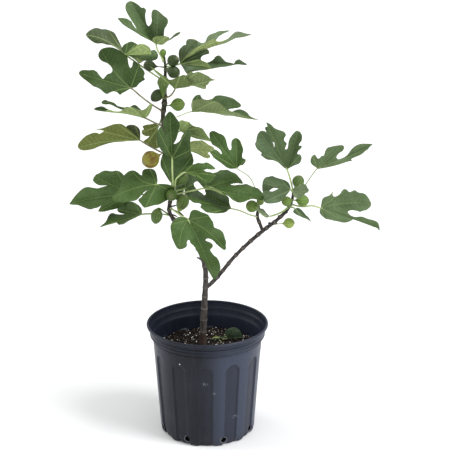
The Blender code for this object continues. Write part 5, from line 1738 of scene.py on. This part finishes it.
@dataclass
class SoilMaker:
    """Builds the potting mix: a lumpy bed with perlite, bark chips, fibres and green scraps on it."""

    finishes: Finishes
    pot: PotMaker
    top: float = 0.180
    lump: float = 0.0035
    lump_scales: tuple[tuple[float, float], ...] = ((55.0, 1.0), (130.0, 0.6))
    crumb_lump: float = 0.0016
    grid: float = 0.0022
    gap: float = 0.0003
    grains: int = 400
    grain_radius: tuple[float, float] = (0.0005, 0.0020)
    chips: int = 300
    fibres: int = 60
    trunk: Vector = in_view(-9, 182, 0)
    trunk_room: float = 0.0095
    edge_room: float = 0.003
    foot_room: float = 0.004
    scraps: int = 11
    stray_radius: float = 0.0013
    stray: Vector = Vector((-0.0540, -0.0972, 0.1838))

    def radius(self) -> float:
        """Give the bed's radius at its top."""
        return self.pot.wall_radius(self.top) - self.pot.wall - self.pot.flute_depth - self.gap

    def height(self, x: float, y: float) -> float:
        """Give the bed's height at a place."""
        spot = Vector((x, y, self.top))
        lumps = self.lump * sum(share * noise.noise(spot * scale) for scale, share in self.lump_scales)
        crumbs = self.crumb_lump * noise.fractal(spot * 330.0, 0.9, 2.0, 3)
        return self.top + lumps + crumbs

    def bed(self) -> bmesh.types.BMesh:
        """Cut a disc by a grid, raise its lumps, and extrude it down to the pot's floor."""
        rim = self.radius()
        ring = [Vector((math.sin(FULL_TURN * k / 240), math.cos(FULL_TURN * k / 240))) * rim
                for k in range(240)]
        bm = cut_sheet(ring, self.grid * (1))
        border = [edge for edge in bm.edges if edge.is_boundary]
        for vert in bm.verts:
            vert.co.z = self.height(vert.co.x, vert.co.y)
        foot = self.pot.wall_radius(self.pot.wall_foot) - self.pot.wall - self.pot.flute_depth - self.gap
        narrow = (foot - self.foot_room) / rim
        for height, share in ((self.pot.wall_foot, narrow), (self.pot.floor + self.gap, 1.0)):
            grown = bmesh.ops.extrude_edge_only(bm, edges=border)["geom"]
            border = [item for item in grown if isinstance(item, bmesh.types.BMEdge) and item.is_boundary]
            for vert in (item for item in grown if isinstance(item, bmesh.types.BMVert)):
                vert.co = Vector((vert.co.x * share, vert.co.y * share, height))
        bmesh.ops.contextual_create(bm, geom=border)
        bmesh.ops.recalc_face_normals(bm, faces=bm.faces)
        for face in bm.faces:
            face.smooth = True
        return bm

    def spot(self, draw: random.Random, sink: float) -> Vector:
        """Draw a place on the bed that is clear of the trunk."""
        rim = self.radius()
        while True:
            x = draw.uniform(-1.0, 1.0) * rim
            y = draw.uniform(-1.0, 1.0) * rim
            clear = math.hypot(x - self.trunk.x, y) > self.trunk_room
            if clear and math.hypot(x, y) < rim - self.edge_room:
                return Vector((x, y, self.height(x, y) - sink))

    def turned_at(self, spot: Vector, draw: random.Random, size: Sequence[float]) -> Matrix:
        """Give a matrix that stretches a unit shape, turns it at random and moves it to a spot."""
        pitch, roll = (Matrix.Rotation(draw.uniform(-0.5, 0.5), 4, axis) for axis in "XY")
        spin = Matrix.Rotation(draw.uniform(0.0, FULL_TURN), 4, "Z")
        return Matrix.Translation(spot) @ spin @ (pitch @ roll) @ Matrix.Diagonal((*size, 1.0))

    def perlite(self) -> bmesh.types.BMesh:
        """Strew white perlite grains over the bed, some half sunk."""
        draw = random.Random(5)
        bm = bmesh.new()
        for i in range(self.grains):
            size = draw.triangular(*self.grain_radius, self.grain_radius[0] * 1.3) if i else self.stray_radius
            spot = self.spot(draw, size * draw.uniform(-0.3, 0.6)) if i else self.stray
            place = self.turned_at(spot, draw, [size * draw.uniform(0.75, 1.2) for _ in range(3)])
            made = bmesh.ops.create_icosphere(bm, subdivisions=2, radius=1.0, matrix=place)["verts"]
            for vert in made:
                vert.co += (vert.co - place.translation) * 0.35 * noise.noise(vert.co * 900.0)
        return bm

    def bark_chips(self) -> bmesh.types.BMesh:
        """Strew thin chips of composted bark over the bed."""
        draw = random.Random(8)
        noise.seed_set(8)
        bm = bmesh.new()
        for _ in range(self.chips):
            length = draw.uniform(0.002, 0.0075)
            size = (length, length * draw.uniform(0.3, 0.6), draw.uniform(0.0006, 0.0014))
            place = self.turned_at(self.spot(draw, 0.0002), draw, size)
            made = bmesh.ops.create_cube(bm, size=1.0, matrix=place)["verts"]
            for vert in made:
                vert.co += Vector(noise.noise_vector(vert.co * 700.0)) * 0.0007
        bmesh.ops.bevel(bm, geom=bm.edges[:], offset=0.0003, offset_type="OFFSET", segments=1, profile=0.5,
                        affect="EDGES", material=-1)
        return bm

    def strands(self, seed: int, count: int, length: tuple[float, float], radius: float,
                middle: Vector | None = None, spread: float = 1.0) -> bmesh.types.BMesh:
        """Lay thin bent strands on the bed.

        Args:
            seed: Which draw of places this is.
            count: How many strands.
            length: The shortest and the longest.
            radius: How thick they are.
            middle: Where they gather, or None for all over the bed.
            spread: How far from the middle they lie.

        Returns:
            The strands in one mesh.
        """
        draw = random.Random(seed)
        bm = bmesh.new()
        for _ in range(count):
            foot = self.spot(draw, 0.0)
            if middle is not None:
                foot = middle + Vector((draw.uniform(-spread, spread), draw.uniform(-spread, spread), 0.0))
            turn = draw.uniform(0.0, FULL_TURN)
            long = draw.uniform(*length)
            path = []
            for k in range(6):
                at = foot.xy + Vector((math.cos(turn), math.sin(turn))) * long * k / 5
                turn += draw.uniform(-0.35, 0.35)
                at *= min(1.0, (self.radius() - self.edge_room) / max(at.length, WELD))
                path.append(Vector((*at, self.height(*at) + radius + 0.0006 * math.sin(k * 0.63))))
            sweep(bm, path, [radius * part for part in (0.5, 1.0, 1.1, 1.0, 0.8, 0.3)], 6)
        return bm

    def build(self) -> list[bpy.types.Object]:
        """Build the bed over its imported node, and what lies on it."""
        make = self.finishes
        pieces = [add_piece("soil_bed", self.bed(), [make.soil()], ["soil"])]
        heap = in_view(31, 190, -44)
        for name, bm, *look in (
                ("perlite_grains", self.perlite(),
                 "perlite", (0.50, 0.49, 0.46), (0.80, 0.79, 0.76), 300.0, 0.9),
                ("bark_chips", self.bark_chips(),
                 "bark_chip", (0.014, 0.010, 0.008), (0.095, 0.062, 0.042), 260.0, 0.85),
                ("peat_fibres", self.strands(21, self.fibres, (0.006, 0.020), 0.00028),
                 "peat_fibre", (0.040, 0.030, 0.020), (0.12, 0.09, 0.06), 300.0, 0.9),
                ("green_scraps", self.strands(31, self.scraps, (0.008, 0.019), 0.0008, heap, 0.012),
                 "green_scrap", (0.34, 0.40, 0.12), (0.62, 0.64, 0.28), 300.0, 0.6)):
            bmesh.ops.recalc_face_normals(bm, faces=bm.faces)
            for face in bm.faces:
                face.smooth = name != "bark_chips"
            pieces.append(add_piece(name, bm, [make.crumb(*look)]))
        return pieces


@dataclass
class Studio:
    """Sets the camera, a plain pale floor and soft light round the plant."""

    finishes: Finishes
    eye: Vector = Vector((EYE_ACROSS, -EYE_BACK, EYE_HEIGHT))
    pitch: float = math.radians(72.27)
    lens: float = 100.5
    floor_size: float = 60.0
    floor_gap: float = 0.0002

    def camera(self) -> None:
        """Stand the camera where the photograph was taken from."""
        lens = bpy.data.cameras.new("camera")
        lens.lens = self.lens
        lens.sensor_width = 36.0
        stand = put("camera", lens)
        stand.location = self.eye
        stand.rotation_euler = (self.pitch, 0.0, 0.0)
        bpy.context.scene.camera = stand

    def floor(self) -> None:
        """Lay the floor that the pot stands on."""
        bm = bmesh.new()
        bmesh.ops.create_grid(bm, x_segments=1, y_segments=1, size=self.floor_size / 2)
        slab = put_mesh("floor", bm)
        slab.location.z = -self.floor_gap
        material, bench = self.finishes.start("floor")
        bench.feed(bench.shader(), Base_Color=(0.93, 0.93, 0.93, 1.0), Roughness=1.0, Specular_IOR_Level=0.0)
        slab.data.materials.append(material)

    def sun(self, name: str, turn: float, rise: float, strength: float, width: float,
            colour: Colour) -> None:
        """Light the stage evenly from one side.

        Args:
            name: The lamp's name.
            turn: Where it stands, in degrees clockwise from behind the plant, seen from above.
            rise: How high it stands, in degrees.
            strength: Its strength in watts a square metre.
            width: How wide the soft light spreads, in degrees.
            colour: Its colour.
        """
        light = bpy.data.lights.new(name, "SUN")
        light.energy = strength
        light.angle = math.radians(width)
        light.color = colour
        put(name, light).rotation_euler = (math.radians(90.0 - rise), 0.0, math.radians(180.0 - turn))

    def build(self) -> None:
        """Set the whole stage."""
        self.camera()
        self.floor()
        self.sun("sky_right", 115.0, 46.0, 2.05, 26.0, (0.97, 0.98, 1.0))
        self.sun("sky_left", 290.0, 35.0, 0.9, 50.0, (1.0, 0.99, 0.96))
        self.sun("sky_top", 200.0, 75.0, 0.8, 90.0, (1.0, 1.0, 1.0))
        world = bpy.data.worlds.new("studio_air")
        world.use_nodes = True
        air = world.node_tree.nodes["Background"]
        air.inputs["Color"].default_value = (0.97, 0.985, 1.0, 1.0)
        air.inputs["Strength"].default_value = 0.52
        bpy.context.scene.world = world
        bpy.context.scene.view_settings.view_transform = "Standard"


def main() -> None:
    """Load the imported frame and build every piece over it."""
    logging.basicConfig(level=logging.INFO, format="%(name)s: %(message)s")
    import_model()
    finishes = Finishes()
    Studio(finishes).build()
    pot = PotMaker(finishes)
    pot.build()
    SoilMaker(finishes, pot).build()
    StemMaker(finishes).build()
    leaves = LeafMaker(finishes)
    for seed, leaf in enumerate((SPROUT, *LEAVES)):
        leaves.build(leaf, seed)
    figs = FigMaker(finishes)
    for seed, fig in enumerate(FIGS):
        figs.build(fig, seed)
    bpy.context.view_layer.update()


if __name__ == "__main__":
    main()
